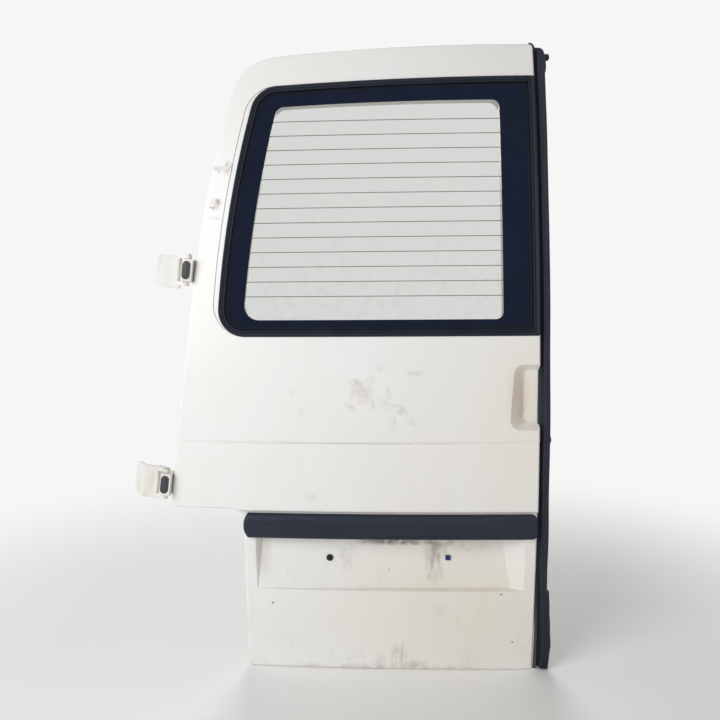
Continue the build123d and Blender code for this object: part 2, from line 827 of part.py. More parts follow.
striker_y = skin_y(-jamb_inset, striker_z, striker_inset)
with BuildPart() as lock_striker:
    with Locations((-jamb_inset, striker_y, striker_z)):
        Box(
            striker_plate,
            striker_plate_width,
            striker_span + 2 * striker_foot,
            align=(Align.MIN, Align.CENTER, Align.CENTER),
        )
    with BuildLine() as loop:
        FilletPolyline(
            (-jamb_inset + striker_plate, striker_y, striker_z - striker_span / 2),
            (-jamb_inset + striker_reach, striker_y, striker_z - striker_span / 2),
            (-jamb_inset + striker_reach, striker_y, striker_z + striker_span / 2),
            (-jamb_inset + striker_plate, striker_y, striker_z + striker_span / 2),
            radius=striker_bend,
        )
    with BuildSketch(Plane(origin=loop.line @ 0, z_dir=loop.line % 0)):
        Circle(striker_wire)
    sweep(path=loop.line)
save(lock_striker.part, "lock_striker")

save(sheet_piece(back_seat, back_seat + bung_height, dots(bung_spots, bung_radius)), "panel_bungs")
save(sheet_piece(back_seat, back_seat + pad_height, dots(pad_spots, pad_radius)), "rubber_buffers")

lower_place = hinge_places["lower"]
print("pin line through", (hinge_points["lower"] - mount_point), "along", pin_line)
print("mount normal", lower_place.y_dir)
upper_mount = hinge_places["upper"].from_local_coords(Vector(leaf_hole_x, leaf_back, 0))
print("upper mount", upper_mount - mount_point)
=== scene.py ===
"""Looks of a camper van's left rear barn door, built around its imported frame."""

import logging
import math
from dataclasses import dataclass
from enum import Enum
from typing import NamedTuple, Optional, Sequence, Union

import bmesh
import bpy
from mathutils import Euler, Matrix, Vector


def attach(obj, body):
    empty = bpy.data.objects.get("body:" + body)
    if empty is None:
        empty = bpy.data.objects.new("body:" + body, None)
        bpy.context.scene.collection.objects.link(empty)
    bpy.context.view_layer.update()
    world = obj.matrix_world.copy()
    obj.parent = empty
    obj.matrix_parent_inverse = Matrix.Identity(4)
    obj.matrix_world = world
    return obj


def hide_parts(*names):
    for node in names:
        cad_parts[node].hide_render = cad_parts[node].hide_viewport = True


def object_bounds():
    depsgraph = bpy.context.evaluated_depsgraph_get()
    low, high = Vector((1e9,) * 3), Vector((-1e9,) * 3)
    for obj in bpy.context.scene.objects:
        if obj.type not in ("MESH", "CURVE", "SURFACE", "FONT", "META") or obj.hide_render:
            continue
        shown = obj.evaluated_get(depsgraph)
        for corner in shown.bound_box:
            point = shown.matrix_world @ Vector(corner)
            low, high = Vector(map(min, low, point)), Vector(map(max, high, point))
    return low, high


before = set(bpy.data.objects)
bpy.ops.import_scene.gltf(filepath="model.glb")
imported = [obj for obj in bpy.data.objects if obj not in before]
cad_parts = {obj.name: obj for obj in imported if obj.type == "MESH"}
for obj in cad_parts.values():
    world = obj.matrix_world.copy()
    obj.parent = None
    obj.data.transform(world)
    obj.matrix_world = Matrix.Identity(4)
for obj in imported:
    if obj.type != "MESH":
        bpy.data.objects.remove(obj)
cad_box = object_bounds()

log = logging.getLogger("door")

Triple = tuple[float, float, float]
Colour = Triple
Flat = tuple[float, float]
Profile = tuple[Flat, ...]
Socket = bpy.types.NodeSocket
Mesh = bmesh.types.BMesh

MM = 0.001
EVEN: Triple = (1.0, 1.0, 1.0)
CLOUD_ROUGHNESS = 0.55
RAG_DETAIL = 3.0
SPOT_CORE = 0.2
BEVEL_SAMPLES = 4
RELIEF_DEPTH = 0.0004
MERGE_DISTANCE = 1e-6
DOOR_BODY = "door"


class Coat(Enum):
    """Finishes of the door, named after the record's material slots."""

    PAINT = "paint"
    INNER_PAINT = "inner_paint"
    HINGE_PAINT = "hinge_paint"
    GLASS = "glass"
    PRINT = "print"
    HEATER = "heater"
    GASKET = "gasket_rubber"
    STRIP = "strip_plastic"
    SEAL = "seal_rubber"
    BLACK_RUBBER = "black_rubber"
    BLACK_PLASTIC = "black_plastic"
    BLUE_PLASTIC = "blue_plastic"
    LAMP = "lamp_plastic"
    TRIM = "trim_plastic"
    ZINC = "zinc_steel"
    CARRIER = "carrier_paint"

    @property
    def slot(self) -> str:
        """Slot of the record that the finish belongs to."""
        return Coat.INNER_PAINT.value if self is Coat.CARRIER else self.value


class Grain(Enum):
    """Small relief of a surface: patches per metre, finer layers and strength."""

    ORANGE_PEEL = (700.0, 1.0, 0.02)
    MOULDED = (1400.0, 2.0, 0.12)
    LEATHER = (520.0, 2.0, 0.35)
    SKINNED = (260.0, 2.0, 0.10)
    BRUSHED = (900.0, 2.0, 0.06)
    PRINTED = (300.0, 2.0, 0.01)


class DirtAndShade(Enum):
    """Ways that dirt lies, and painted shade with it: patches per metre, drawn out downwards by a factor, and
    the share left bare.
    """

    SMUDGE = (120.0, 1.0, 0.46)
    STREAK = (95.0, 7.0, 0.47)
    FILM = (48.0, 1.0, 0.45)
    SPECK = (320.0, 1.0, 0.52)
    SOLID = (60.0, 1.0, 0.10)
    # Thin painted shade along the crease above the rub strip, with straight edges.
    LINE = (20.0, 1.0, 0.32)


class Pattern(NamedTuple):
    """Patches of a cloudy pattern, from 0 where it is at its low value to 1 at its high one."""

    scale: float
    detail: float
    low: float
    high: float
    stretch: Triple = EVEN


@dataclass(frozen=True)
class DoorShape:
    """Bowed surface of the door in its own coordinates, in millimetres, and its way into the shared frame."""

    plan_radius: float = 6540.0
    side_radius: float = 3650.0
    apex_z: float = 450.0
    height: float = 1410.0
    mount: Triple = (-865.116, 82.493, 445.458)

    def skin_y(self, x: float, z: float, inset: float = 0.0) -> float:
        """Depth of the surface at a place on the door.

        Args:
            x: place across the door, 0 at the free edge.
            z: height above the bottom edge.
            inset: distance inwards from the skin.

        Returns:
            Y in door coordinates.
        """
        side = self.side_radius - math.sqrt((self.side_radius - inset) ** 2 - (z - self.apex_z) ** 2)
        return self.plan_radius - math.sqrt((self.plan_radius - side) ** 2 - x * x)

    def at(self, x: float, z: float, inset: float = 0.0) -> Vector:
        """Point of the surface in the shared frame, in metres."""
        return self.frame_point(x, self.skin_y(x, z, inset), z)

    def frame_point(self, x: float, y: float, z: float) -> Vector:
        """Point given in door coordinates, moved to the shared frame, in metres."""
        return Vector((x - self.mount[0], y - self.mount[1], z - self.mount[2])) * MM

    def outward(self, x: float, z: float) -> Vector:
        """Direction straight out of the skin at a place on the door.

        Args:
            x: place across the door.
            z: height above the bottom edge.

        Returns:
            Direction of length 1.
        """
        step = 1.0
        across = self.at(x + step, z) - self.at(x - step, z)
        up = self.at(x, z + step) - self.at(x, z - step)
        return across.cross(up).normalized()


DOOR = DoorShape()


class Nodes:
    """Node tree, with short calls that add nodes and join them."""

    def __init__(self, tree: bpy.types.NodeTree) -> None:
        """Take a tree to work on."""
        self.tree = tree

    def feed(self, target: Socket, value: object) -> None:
        """Link a socket, or set it where the value is constant.

        Args:
            target: input to feed.
            value: socket or constant.
        """
        if isinstance(value, Socket):
            self.tree.links.new(value, target)
        elif isinstance(value, tuple) and len(value) == 3 and target.type == "RGBA":
            target.default_value = (*value, 1.0)
        else:
            target.default_value = value

    def node(self, kind: str, inputs: Optional[dict] = None, **settings: object) -> bpy.types.Node:
        """Add a node.

        Args:
            kind: type of the node.
            inputs: values or sockets for its inputs, by name or number.
            settings: values of its properties.

        Returns:
            The node.
        """
        made = self.tree.nodes.new(kind)
        for key, value in settings.items():
            setattr(made, key, value)
        for key, value in (inputs or {}).items():
            self.feed(made.inputs[key], value)
        return made

    def math(self, operation: str, first: object, second: object) -> Socket:
        """Sum, product or other operation of two values."""
        return self.node("ShaderNodeMath", {0: first, 1: second}, operation=operation).outputs[0]


class Shader(Nodes):
    """Node tree of one material, with short calls for the nodes that the finishes share."""

    def __init__(self, name: str) -> None:
        """Start an empty material with a principled surface.

        Args:
            name: name of the material.
        """
        self.material = bpy.data.materials.new(name)
        self.material.use_nodes = True
        super().__init__(self.material.node_tree)
        self.surface = self.tree.nodes["Principled BSDF"]
        self.place = self.node("ShaderNodeTexCoord").outputs["Object"]
        self.patterns: dict[tuple, Socket] = {}

    def set(self, inputs: dict[str, object]) -> None:
        """Set or link inputs of the surface."""
        for name, value in inputs.items():
            self.feed(self.surface.inputs[name], value)

    def noise(self, scale: float, detail: float, stretch: Triple = EVEN) -> Socket:
        """Cloudy pattern from 0 to 1.

        Args:
            scale: patches per metre.
            detail: number of finer layers.
            stretch: scale along each axis, where the pattern is drawn out.

        Returns:
            The pattern's value.
        """
        key = (scale, detail, stretch)
        if key not in self.patterns:
            drawn = self.node("ShaderNodeMapping", {"Vector": self.place, "Scale": stretch}).outputs[0]
            inputs = {"Vector": drawn, "Scale": scale, "Detail": detail, "Roughness": CLOUD_ROUGHNESS}
            self.patterns[key] = self.node("ShaderNodeTexNoise", inputs).outputs["Fac"]
        return self.patterns[key]

    def patches(self, pattern: Pattern) -> Socket:
        """Share of the surface that a pattern covers."""
        scale, detail, low, high, stretch = pattern
        return self.ramp(self.noise(scale, detail, stretch), low, high)

    def ragged(self, scale: float, amount: float) -> Socket:
        """Place on the object, pushed about by a pattern so that patches get ragged outlines.

        Args:
            scale: patches per metre.
            amount: longest push, in metres.

        Returns:
            The moved place.
        """
        cloud = self.node("ShaderNodeTexNoise", {"Vector": self.place, "Scale": scale, "Detail": RAG_DETAIL})
        push = {0: cloud.outputs["Color"], 1: (amount,) * 3, 2: (-amount / 2,) * 3}
        move = self.node("ShaderNodeVectorMath", push, operation="MULTIPLY_ADD").outputs[0]
        return self.node("ShaderNodeVectorMath", {0: self.place, 1: move}, operation="ADD").outputs[0]

    def ramp(self, value: Socket, low: float, high: float, start: float = 0.0, end: float = 1.0) -> Socket:
        """Smooth step from start to end as a value goes from low to high."""
        inputs = {"Value": value, "From Min": low, "From Max": high, "To Min": start, "To Max": end}
        return self.node("ShaderNodeMapRange", inputs, interpolation_type="SMOOTHSTEP").outputs["Result"]

    def mix(self, share: object, under: object, over: object) -> Socket:
        """Colour over another, by a share."""
        return self.node("ShaderNodeMix", {"Factor": share, 6: under, 7: over}, data_type="RGBA").outputs[2]

    def height(self) -> Socket:
        """Height of the place on the object."""
        return self.node("ShaderNodeSeparateXYZ", {0: self.place}).outputs[2]

    def distance(self, place: Socket) -> Socket:
        """Distance of a place from its origin."""
        return self.node("ShaderNodeVectorMath", {0: place}, operation="LENGTH").outputs["Value"]

    def spot(self, place: Socket, centre: Vector, reach: Triple, tilt: float) -> Socket:
        """Soft patch that is 1 in its middle and 0 outside its reach.

        Args:
            place: where the surface point lies.
            centre: middle of the patch.
            reach: half sizes of the patch.
            tilt: turn of the patch about the door's depth, in degrees.

        Returns:
            The patch's value.
        """
        turn = (0.0, math.radians(tilt), 0.0)
        inputs = {"Vector": place, "Location": centre, "Rotation": turn, "Scale": reach}
        moved = self.node("ShaderNodeMapping", inputs, vector_type="TEXTURE").outputs[0]
        return self.ramp(self.distance(moved), SPOT_CORE, 1.0, 1.0, 0.0)

    def relief(self, grain: Grain, depth: float, round_edges: float, stretch: Triple = EVEN) -> None:
        """Raise the surface by its grain, over edges that are rounded off.

        Args:
            grain: kind of relief.
            depth: size of the relief, in metres.
            round_edges: radius of the edges, or 0 where they stay sharp.
            stretch: scale of the grain along each axis.
        """
        scale, detail, strength = grain.value
        height = self.noise(scale, detail, stretch)
        inputs = {"Strength": strength, "Distance": depth, "Height": height}
        if round_edges:
            bevel = self.node("ShaderNodeBevel", {"Radius": round_edges}, samples=BEVEL_SAMPLES)
            inputs["Normal"] = bevel.outputs[0]
        self.set({"Normal": self.node("ShaderNodeBump", inputs).outputs[0]})


# Road dust, and also the colour of the painted shade in the crease and under the rub strip.
DUST_AND_SHADE: Colour = (0.19, 0.17, 0.135)
RUST: Colour = (0.34, 0.14, 0.055)
EARTH: Colour = (0.40, 0.29, 0.18)
# Soot, and also the colour of the painted shadow right under the rub strip.
SOOT_AND_SHADE: Colour = (0.045, 0.042, 0.040)
# Warm tint for broad patches over the lower panel and the right part of the door.
WARM_TINT: Colour = (0.80, 0.72, 0.54)


@dataclass(frozen=True)
class StainAndShade:
    """One mark at one place of the door, in door coordinates and millimetres: dirt, and in a few rows painted
    shade.
    """

    x: float
    z: float
    half_width: float
    half_height: float
    strength: float
    kind: DirtAndShade = DirtAndShade.SMUDGE
    tint: Colour = DUST_AND_SHADE
    tilt: float = 0.0
    detail: float = 6.0
    fringe: Flat = (-0.13, 0.17)

    def mask(self, shader: Shader, place: Socket) -> Socket:
        """Share of the mark over the surface, broken up by the way it lies; the mark is dirt, and in a few
        rows painted shade.

        Args:
            shader: material that it lies on.
            place: where the surface point lies.

        Returns:
            The share.
        """
        reach = (self.half_width * MM, 1.0, self.half_height * MM)
        soft = shader.spot(place, DOOR.at(self.x, self.z), reach, self.tilt)
        scale, streak, bare = self.kind.value
        low, high = (bare + fringe for fringe in self.fringe)
        broken = shader.patches(Pattern(scale, self.detail, low, high, (1.0, 1.0, 1.0 / streak)))
        return shader.math("MULTIPLY", shader.math("MULTIPLY", soft, broken), self.strength)


@dataclass(frozen=True)
class PaintFinish:
    """Stove-enamelled sheet metal with road dirt on it, and some painted shade."""

    colour: Colour
    gloss: float = 0.34
    grime: float = 0.16
    foot: float = -0.44
    stains_and_shade: tuple[StainAndShade, ...] = ()
    dirt: Colour = (0.44, 0.37, 0.28)
    warmth: Colour = (0.985, 0.97, 0.94)
    cloud: Pattern = Pattern(2.6, 3.0, 0.35, 0.7)
    dust: Pattern = Pattern(34.0, 8.0, 0.50, 0.78, (1.0, 1.0, 0.45))
    splash_height: float = 0.62
    splash_above: float = 0.12
    rags: Flat = (130.0, 0.010)
    dull_share: float = 0.6
    dulling: float = 0.35
    specular: float = 0.35
    coat_weight: float = 0.12
    coat_roughness: float = 0.26
    round_edges: float = 0.0012

    def build(self, name: str) -> bpy.types.Material:
        """Make the material under a name.

        Args:
            name: name of the material.

        Returns:
            The material.
        """
        shader = Shader(name)
        warm = tuple(value * share for value, share in zip(self.colour, self.warmth))
        colour = shader.mix(shader.patches(self.cloud), self.colour, warm)
        top = self.foot + self.splash_height
        low = shader.ramp(shader.height(), self.foot, top, 1.0, self.splash_above)
        dust = shader.patches(self.dust)
        share = shader.math("MULTIPLY", shader.math("MULTIPLY", low, dust), self.grime)
        colour = shader.mix(share, colour, self.dirt)
        ragged = shader.ragged(*self.rags) if self.stains_and_shade else shader.place
        # Lay the marks: real dirt and rust, and the rows that paint shade in the crease, under the rub strip
        # and on the plate recess's left wall.
        for mark in self.stains_and_shade:
            # The crease's painted shade line keeps straight edges; the other marks get ragged ones.
            mask = mark.mask(shader, shader.place if mark.kind is DirtAndShade.LINE else ragged)
            colour = shader.mix(mask, colour, mark.tint)
            share = shader.math("MAXIMUM", share, mask)
        dull = shader.ramp(share, 0.0, self.dull_share, self.gloss, self.gloss + self.dulling)
        shader.set({"Base Color": colour, "Roughness": dull, "Specular IOR Level": self.specular})
        shader.set({"Coat Weight": self.coat_weight, "Coat Roughness": self.coat_roughness})
        shader.relief(Grain.ORANGE_PEEL, RELIEF_DEPTH, self.round_edges)
        return shader.material


@dataclass(frozen=True)
class MouldedFinish:
    """Rubber or plastic straight from the mould, faded and dusty."""

    colour: Colour
    faded: Colour
    grain: Grain
    gloss: float
    shine: float
    patch: float = 14.0
    stretch: Triple = EVEN
    dust: float = 0.12
    round_edges: float = 0.0
    dust_colour: Colour = (0.30, 0.28, 0.25)
    fading: Triple = (6.0, 0.36, 0.70)
    specks: Triple = (5.0, 0.60, 0.80)
    specks_per_patch: float = 16.0
    dulling: float = 0.16

    def build(self, name: str) -> bpy.types.Material:
        """Make the material under a name.

        Args:
            name: name of the material.

        Returns:
            The material.
        """
        shader = Shader(name)
        cloud = shader.patches(Pattern(self.patch, *self.fading, self.stretch))
        colour = shader.mix(cloud, self.colour, self.faded)
        speck = shader.patches(Pattern(self.patch * self.specks_per_patch, *self.specks, self.stretch))
        colour = shader.mix(shader.math("MULTIPLY", speck, self.dust), colour, self.dust_colour)
        dull = shader.ramp(cloud, 0.0, 1.0, self.gloss, min(1.0, self.gloss + self.dulling))
        shader.set({"Base Color": colour, "Roughness": dull, "Specular IOR Level": self.shine})
        shader.relief(self.grain, RELIEF_DEPTH, self.round_edges)
        return shader.material


@dataclass(frozen=True)
class GlassFinish:
    """Lightly tinted safety glass with a film of dust, laid thicker towards the bottom as dust and as painted
    shade seen through the pane.
    """

    tint: Colour
    dusty_and_shaded: Colour
    film: Pattern = Pattern(60.0, 9.0, 0.44, 0.72)
    film_and_shade_heights: Flat = (0.36, 0.72)
    film_and_shade_shares: Flat = (0.85, 0.15)
    roughness: float = 0.015
    bending: float = 1.02

    def build(self, name: str) -> bpy.types.Material:
        """Make the material under a name.

        Args:
            name: name of the material.

        Returns:
            The material.
        """
        shader = Shader(name)
        # The film thickens towards the bottom: dust, and painted shade of what is seen through the pane.
        low = shader.ramp(shader.height(), *self.film_and_shade_heights, *self.film_and_shade_shares)
        share = shader.math("MULTIPLY", shader.patches(self.film), low)
        shader.set({"Base Color": shader.mix(share, self.tint, self.dusty_and_shaded), "Roughness": self.roughness})
        shader.set({"Transmission Weight": 1.0, "IOR": self.bending})
        return shader.material


@dataclass(frozen=True)
class PlatedFinish:
    """Zinc-plated or bare steel."""

    colour: Colour
    tarnish: Colour
    cloud: Pattern = Pattern(45.0, 6.0, 0.42, 0.72)
    gloss: float = 0.38
    dulling: float = 0.25
    metal: float = 0.9
    brushing: Triple = (0.2, 1.0, 1.0)
    grain_depth: float = 0.0003
    round_edges: float = 0.0006

    def build(self, name: str) -> bpy.types.Material:
        """Make the material under a name.

        Args:
            name: name of the material.

        Returns:
            The material.
        """
        shader = Shader(name)
        cloud = shader.patches(self.cloud)
        shader.set({"Base Color": shader.mix(cloud, self.colour, self.tarnish), "Metallic": self.metal})
        shader.set({"Roughness": shader.ramp(cloud, 0.0, 1.0, self.gloss, self.gloss + self.dulling)})
        shader.relief(Grain.BRUSHED, self.grain_depth, self.round_edges, self.brushing)
        return shader.material


Finish = Union[PaintFinish, MouldedFinish, GlassFinish, PlatedFinish]
SMUDGE, STREAK, FILM, SPECK, SOLID, LINE = DirtAndShade
# Marks on the outer skin. Most are dirt and rust; the crease line, the rows just under the rub strip and the
# tall row on the plate recess's left wall are painted shade.
STAIN_AND_SHADE_ROWS: tuple[tuple, ...] = (
    # The first two rows tint the lower panel and the right part of the door warmer and a little darker.
    (-190, 150, 380, 260, 0.36, SOLID, WARM_TINT), (-50, 560, 150, 300, 0.22, SOLID, WARM_TINT),
    # The thin line at height 537 is painted shade along the crease above the rub strip.
    (-415, 537, 470, 2.6, 0.34, LINE), (-388, 650, 34, 34, 0.34, FILM, EARTH),
    (-398, 672, 22, 11, 0.24, SMUDGE, DUST_AND_SHADE, 10), (-364, 678, 18, 14, 0.20, SPECK),
    (-412, 619, 17, 8, 0.26, SMUDGE, DUST_AND_SHADE, 25), (-364, 624, 10, 20, 0.24),
    (-329, 648, 9, 24, 0.22, SMUDGE, DUST_AND_SHADE, -20), (-334, 624, 22, 22, 0.16),
    (-303, 611, 28, 16, 0.24, SMUDGE, DUST_AND_SHADE, 30), (-317, 581, 9, 22, 0.26), (-271, 690, 30, 11, 0.20),
    (-278, 583, 17, 12, 0.16, SMUDGE, DUST_AND_SHADE, 35), (-346, 702, 18, 12, 0.14), (-519, 608, 9, 11, 0.16),
    (-536, 648, 8, 9, 0.16), (-502, 416, 24, 14, 0.14), (-426, 266, 20, 48, 0.22, FILM),
    (-414, 268, 8, 52, 0.20, STREAK), (-223, 262, 34, 72, 0.46, STREAK), (-216, 282, 28, 40, 0.38, FILM),
    # The rows at (-215, 303) and (-300, 304) paint the rub strip's shadow just under it, together with dirt
    # there.
    (-215, 303, 50, 14, 0.55, FILM), (-300, 304, 150, 12, 0.70, FILM, SOOT_AND_SHADE),
    (-140, 294, 60, 22, 0.28, FILM, EARTH), (-305, 37, 26, 44, 0.36, STREAK),
    (-268, 14, 40, 20, 0.28, FILM), (-348, 18, 22, 26, 0.24, STREAK), (-330, 4, 330, 14, 0.36, FILM, EARTH),
    (-643, 27, 14, 50, 0.40, STREAK), (-213, 144, 28, 32, 0.12, SPECK), (-326, 239, 5, 4, 0.40, SOLID),
    (-234, 223, 10, 9, 0.30), (-76, 188, 3.4, 3.0, 0.7, SOLID, SOOT_AND_SHADE), (-47, 71, 3.6, 3.6, 0.9, SOLID, SOOT_AND_SHADE),
    (-592, 161, 3.4, 3.4, 0.9, SOLID, SOOT_AND_SHADE), (-678, 1141, 17, 21, 0.55, SMUDGE, (0.30, 0.20, 0.12)),
    (-694, 1137, 10, 13, 0.42, SMUDGE, SOOT_AND_SHADE), (-705, 1141, 7, 10, 0.30, SMUDGE, SOOT_AND_SHADE),
    (-701, 1066, 9, 10, 0.85, FILM, (0.14, 0.07, 0.035)), (-706, 1060, 20, 22, 0.28, FILM, RUST),
    (-712, 1054, 14, 4, 0.50, SMUDGE, SOOT_AND_SHADE, 8), (-708, 1030, 22, 5, 0.26, SMUDGE, DUST_AND_SHADE, 12),
    (-45, 640, 36, 96, 0.46, SOLID, (0.72, 0.58, 0.42)), (-36, 612, 12, 44, 0.22, FILM, (0.44, 0.34, 0.24)),
    # The row at (-612, 290) is painted shade on the plate recess's left wall, which faces away from the key
    # light.
    (-612, 290, 26, 90, 0.30, SOLID, (0.44, 0.37, 0.28)),
)
FINISHES: dict[Coat, Finish] = {
    Coat.PAINT: PaintFinish((0.835, 0.84, 0.84), stains_and_shade=tuple(StainAndShade(*row) for row in STAIN_AND_SHADE_ROWS)),
    Coat.INNER_PAINT: PaintFinish((0.76, 0.745, 0.70), gloss=0.42, grime=0.34),
    Coat.HINGE_PAINT: PaintFinish((0.77, 0.76, 0.73), gloss=0.40, grime=0.5, foot=0.4),
    Coat.GLASS: GlassFinish((0.735, 0.75, 0.725), (0.68, 0.69, 0.66)),
    Coat.PRINT: MouldedFinish(
        (0.0175, 0.024, 0.048), (0.019, 0.026, 0.051), Grain.PRINTED, 0.3, 0.0, dust=0.0
    ),
    Coat.HEATER: MouldedFinish((0.20, 0.18, 0.15), (0.26, 0.23, 0.19), Grain.PRINTED, 0.5, 0.2),
    Coat.GASKET: MouldedFinish(
        (0.012, 0.015, 0.026), (0.018, 0.022, 0.034), Grain.SKINNED, 0.46, 0.16, dust=0.06
    ),
    Coat.SEAL: MouldedFinish(
        (0.009, 0.012, 0.023), (0.020, 0.024, 0.037), Grain.SKINNED, 0.50, 0.26, 20.0, (1.0, 1.0, 0.25), 0.06
    ),
    Coat.STRIP: MouldedFinish(
        (0.015, 0.020, 0.036), (0.027, 0.032, 0.049), Grain.MOULDED, 0.52, 0.22, 9.0, (0.16, 1.0, 1.6), 0.06
    ),
    Coat.BLACK_RUBBER: MouldedFinish(
        (0.018, 0.018, 0.020), (0.030, 0.030, 0.032), Grain.SKINNED, 0.6, 0.3, 40.0
    ),
    Coat.BLACK_PLASTIC: MouldedFinish(
        (0.030, 0.033, 0.037), (0.046, 0.049, 0.055), Grain.MOULDED, 0.45, 0.4, 60.0
    ),
    Coat.BLUE_PLASTIC: MouldedFinish(
        (0.014, 0.042, 0.16), (0.022, 0.056, 0.20), Grain.MOULDED, 0.4, 0.4, 90.0
    ),
    Coat.LAMP: MouldedFinish((0.62, 0.62, 0.60), (0.55, 0.54, 0.50), Grain.MOULDED, 0.25, 0.5, 60.0),
    Coat.TRIM: MouldedFinish(
        (0.105, 0.108, 0.112), (0.125, 0.128, 0.132), Grain.LEATHER, 0.62, 0.3, 8.0, round_edges=0.001
    ),
    Coat.ZINC: PlatedFinish((0.43, 0.425, 0.41), (0.27, 0.25, 0.21)),
    # The carrier's dark brown is painted shade of the narrow gap between skin and seal, over rusty primer.
    Coat.CARRIER: PaintFinish((0.075, 0.048, 0.030), gloss=0.5, grime=0.3),
}


def placed(name: str, data: bpy.types.ID) -> bpy.types.Object:
    """Put an object with its data into the scene.

    Args:
        name: name of the object.
        data: mesh, light or camera.

    Returns:
        The object.
    """
    made = bpy.data.objects.new(name, data)
    bpy.context.scene.collection.objects.link(made)
    return made


class Workshop:
    """Makes the materials once and turns meshes into pieces."""

    def __init__(self) -> None:
        """Build every finish."""
        self.materials: dict[Coat, bpy.types.Material] = {
            coat: finish.build(coat.value) for coat, finish in FINISHES.items()
        }

    def dress(self, coat: Coat, *nodes: str) -> None:
        """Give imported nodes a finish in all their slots.

        Args:
            coat: the finish.
            nodes: names of the nodes.
        """
        for node in nodes:
            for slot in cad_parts[node].material_slots:
                slot.material = self.materials[coat]
            log.info("dressed %s in %s", node, coat.value)

    def piece(
        self, name: str, mesh: Mesh, coat: Coat, replaces: Sequence[str] = (), smooth_angle: float = 40.0
    ) -> None:
        """Turn a mesh into a piece that rides on the door.

        Args:
            name: name of the piece.
            mesh: its geometry, freed here.
            coat: its finish.
            replaces: nodes it stands for.
            smooth_angle: edges sharper than this stay sharp, in degrees.
        """
        bmesh.ops.remove_doubles(mesh, verts=mesh.verts, dist=MERGE_DISTANCE)
        bmesh.ops.recalc_face_normals(mesh, faces=mesh.faces)
        limit = math.radians(smooth_angle)
        for face in mesh.faces:
            face.smooth = True
        for edge in mesh.edges:
            edge.smooth = not (len(edge.link_faces) == 2 and edge.calc_face_angle(0.0) > limit)
        data = bpy.data.meshes.new(name)
        mesh.to_mesh(data)
        mesh.free()
        data.materials.append(self.materials[coat])
        made = placed(name, data)
        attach(made, DOOR_BODY)
        if replaces:
            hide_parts(*replaces)
        log.info("built %s: %d faces", name, len(data.polygons))


@dataclass
class Assembly:
    """Group of pieces and nodes that belong together."""

    shop: Workshop


def loft(rows: Sequence[Sequence[Vector]], closed_path: bool = False, mesh: Optional[Mesh] = None) -> Mesh:
    """Skin loops of points with quads, and cap the ends of an open path.

    Args:
        rows: loops along the path, each with the same number of points.
        closed_path: whether the last loop joins the first.
        mesh: mesh to add to, or none for a new one.

    Returns:
        The mesh.
    """
    mesh = mesh or bmesh.new()
    grid = [[mesh.verts.new(point) for point in row] for row in rows]
    count = len(rows[0])
    for step in range(len(rows) if closed_path else len(rows) - 1):
        here, there = grid[step], grid[(step + 1) % len(rows)]
        for index in range(count):
            after = (index + 1) % count
            mesh.faces.new((here[index], here[after], there[after], there[index]))
    if not closed_path:
        mesh.faces.new(list(reversed(grid[0])))
        mesh.faces.new(grid[-1])
    return mesh


def around(count: int, start: float = 0.0) -> list[Flat]:
    """Cosine and sine of even steps round a circle, from a share of a step onwards."""
    angles = [math.tau * (index + start) / count for index in range(count)]
    return [(math.cos(angle), math.sin(angle)) for angle in angles]


def turned(
    profile: Sequence[Flat], centre: Vector, axis: Vector, segments: int = 32, mesh: Optional[Mesh] = None
) -> Mesh:
    """Turn a profile about an axis.

    Args:
        profile: radius and height of each ring, in millimetres.
        centre: foot of the axis.
        axis: direction of the axis.
        segments: points of each ring.
        mesh: mesh to add to, or none for a new one.

    Returns:
        The mesh.
    """
    spin = axis.to_track_quat("Z", "Y")
    rows = [
        [centre + spin @ Vector((radius * x, radius * y, height)) * MM for x, y in around(segments)]
        for radius, height in profile
    ]
    return loft(rows, mesh=mesh)


def eased(table: Sequence[Flat], at: float) -> float:
    """Value between the entries of a table, smoothly.

    Args:
        table: pairs of place and value, rising in place.
        at: place to read.

    Returns:
        The value there.
    """
    if at <= table[0][0]:
        return table[0][1]
    for (low, first), (high, second) in zip(table, table[1:]):
        if at <= high:
            share = (at - low) / (high - low)
            share = share * share * (3 - 2 * share)
            return first + (second - first) * share
    return table[-1][1]


